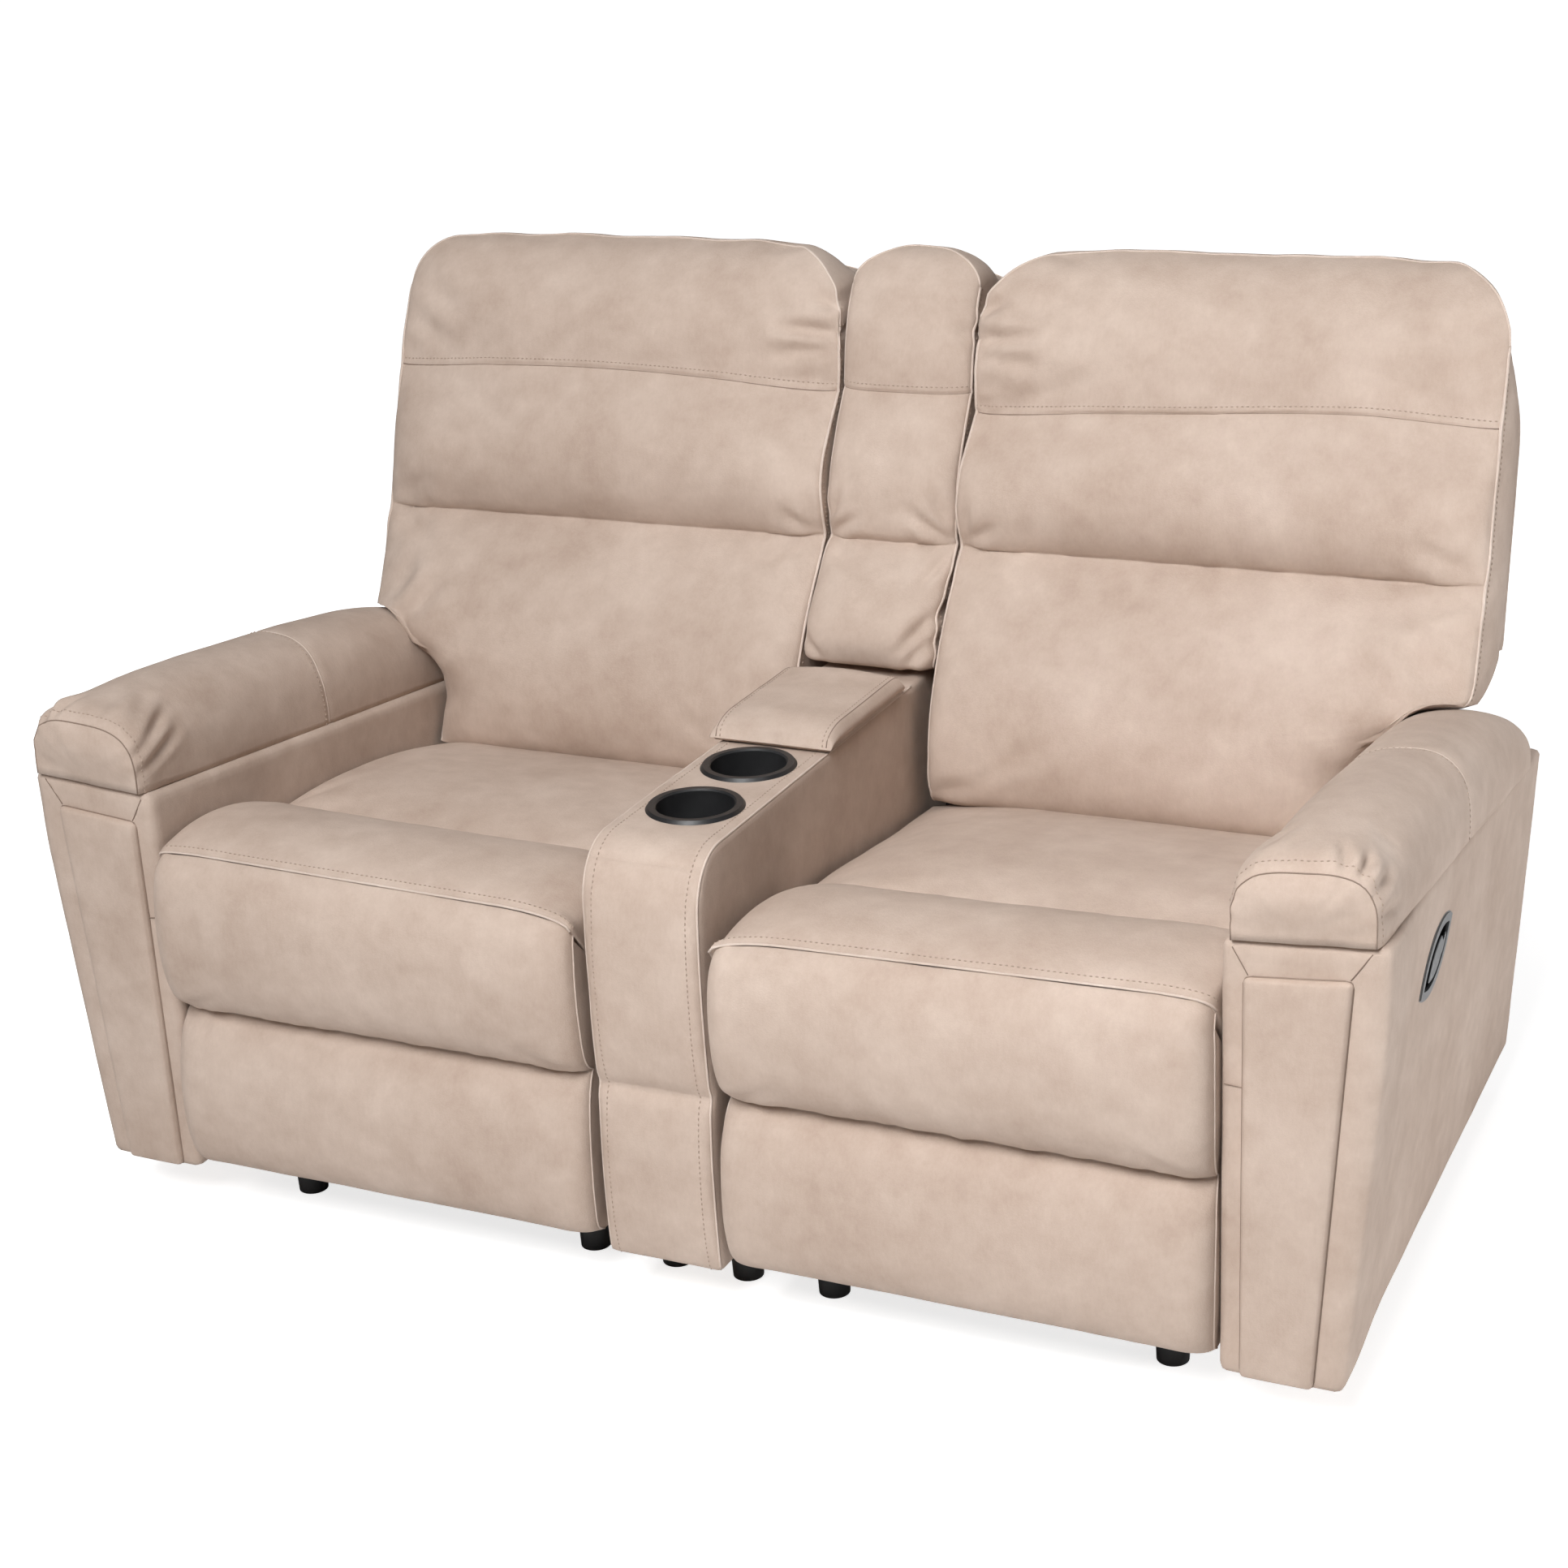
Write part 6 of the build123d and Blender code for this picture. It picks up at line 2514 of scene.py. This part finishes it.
@dataclass
class Studio:
    """Floor, light, backdrop and camera."""

    eye: Point = (1.346332, -2.846961, 1.665277)
    yaw: float = 0.454
    pitch: float = 0.360
    roll: float = -0.053
    lens: float = 63.774
    sensor: float = 36.0
    floor_half: float = 30.0
    floor_colour: Colour = (0.86, 0.855, 0.85, 1.0)
    near_glow: Colour = (0.76, 0.76, 0.76, 1.0)
    sky_glow: Colour = (0.10, 0.101, 0.104, 1.0)
    white: Colour = (1.0, 1.0, 1.0, 1.0)
    dark: Colour = (0.0, 0.0, 0.0, 1.0)
    lamps: tuple[Lamp, ...] = (
        Lamp("key", (0.3, -3.5, 3.6), (0.0, 0.0, 0.5), 1.8, 183.0),
        Lamp("near", (0.5, -3.3, 3.4), (0.75, 0.0, 0.55), 0.8, 3.0, 40.0),
        Lamp("top", (0.0, -0.4, 3.6), (0.0, 0.0, 0.0), 3.0, 22.0),
        Lamp("side", (2.7, 0.1, 0.38), (0.8, 0.0, 0.36), 0.7, 20.0),
    )

    def build(self) -> None:
        """Sets up the whole studio."""
        self.floor()
        self.sky()
        for lamp in self.lamps:
            lamp.hang()
        self.camera()
        bpy.context.scene.view_settings.view_transform = "Standard"
        LOG.info("studio ready")

    def floor(self) -> None:
        """A plain pale floor."""
        half = self.floor_half
        mesh = bpy.data.meshes.new("floor")
        corners = [(-half, -half, 0.0), (half, -half, 0.0), (half, half, 0.0), (-half, half, 0.0)]
        mesh.from_pydata(corners, [], [(0, 1, 2, 3)])
        made = bpy.data.materials.new("pale_floor")
        made.use_nodes = True
        bench = Bench(made.node_tree)
        seen = bench.node("ShaderNodeLightPath", output="Is Camera Ray")
        away = bench.node("ShaderNodeVectorMath", {"operation": "LENGTH"}, {0: bench.place()}, output="Value")
        glow = bench.blend(bench.spread(away, 1.0, 2.6), self.near_glow, self.white)
        bench.surface({
            "Base Color": self.floor_colour,
            "Roughness": 0.9,
            "Specular IOR Level": 0.0,
            "Emission Color": bench.blend(seen, self.dark, glow),
            "Emission Strength": 1.0,
        })
        add_object("floor", mesh, made)

    def sky(self) -> None:
        """White to the camera and soft grey light to everything else."""
        world = bpy.data.worlds.new("studio")
        world.use_nodes = True
        bpy.context.scene.world = world
        bench = Bench(world.node_tree)
        seen = bench.node("ShaderNodeLightPath", output="Is Camera Ray")
        colour = bench.blend(seen, self.sky_glow, self.white)
        light = bench.node("ShaderNodeBackground", None, {"Color": colour, "Strength": 1.0})
        bench.node("ShaderNodeOutputWorld", None, {"Surface": light})

    def camera(self) -> None:
        """The photograph's viewpoint."""
        level = math.cos(self.pitch)
        ahead = Vector((-math.sin(self.yaw) * level, math.cos(self.yaw) * level, -math.sin(self.pitch)))
        right = ahead.cross(Vector((0.0, 0.0, 1.0))).normalized()
        up = right.cross(ahead)
        turned = right * math.cos(self.roll) + up * math.sin(self.roll)
        upright = up * math.cos(self.roll) - right * math.sin(self.roll)
        matrix = Matrix((turned, upright, -ahead)).transposed().to_4x4()
        matrix.translation = self.eye
        eye = bpy.data.cameras.new("camera")
        eye.lens = self.lens
        eye.sensor_width = self.sensor
        made = bpy.data.objects.new("camera", eye)
        made.matrix_world = matrix
        bpy.context.scene.collection.objects.link(made)
        bpy.context.scene.camera = made


def main() -> None:
    """Builds and dresses the sofa, then the studio round it."""
    logging.basicConfig(level=logging.INFO, format="%(name)s: %(message)s")
    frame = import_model()
    wardrobe = Wardrobe()
    for side in Side:
        Recliner(side).dress(wardrobe)
    Console().dress(wardrobe)
    Hardware(frame["nodes"]).dress(wardrobe)
    Studio().build()


if __name__ == "__main__":
    main()
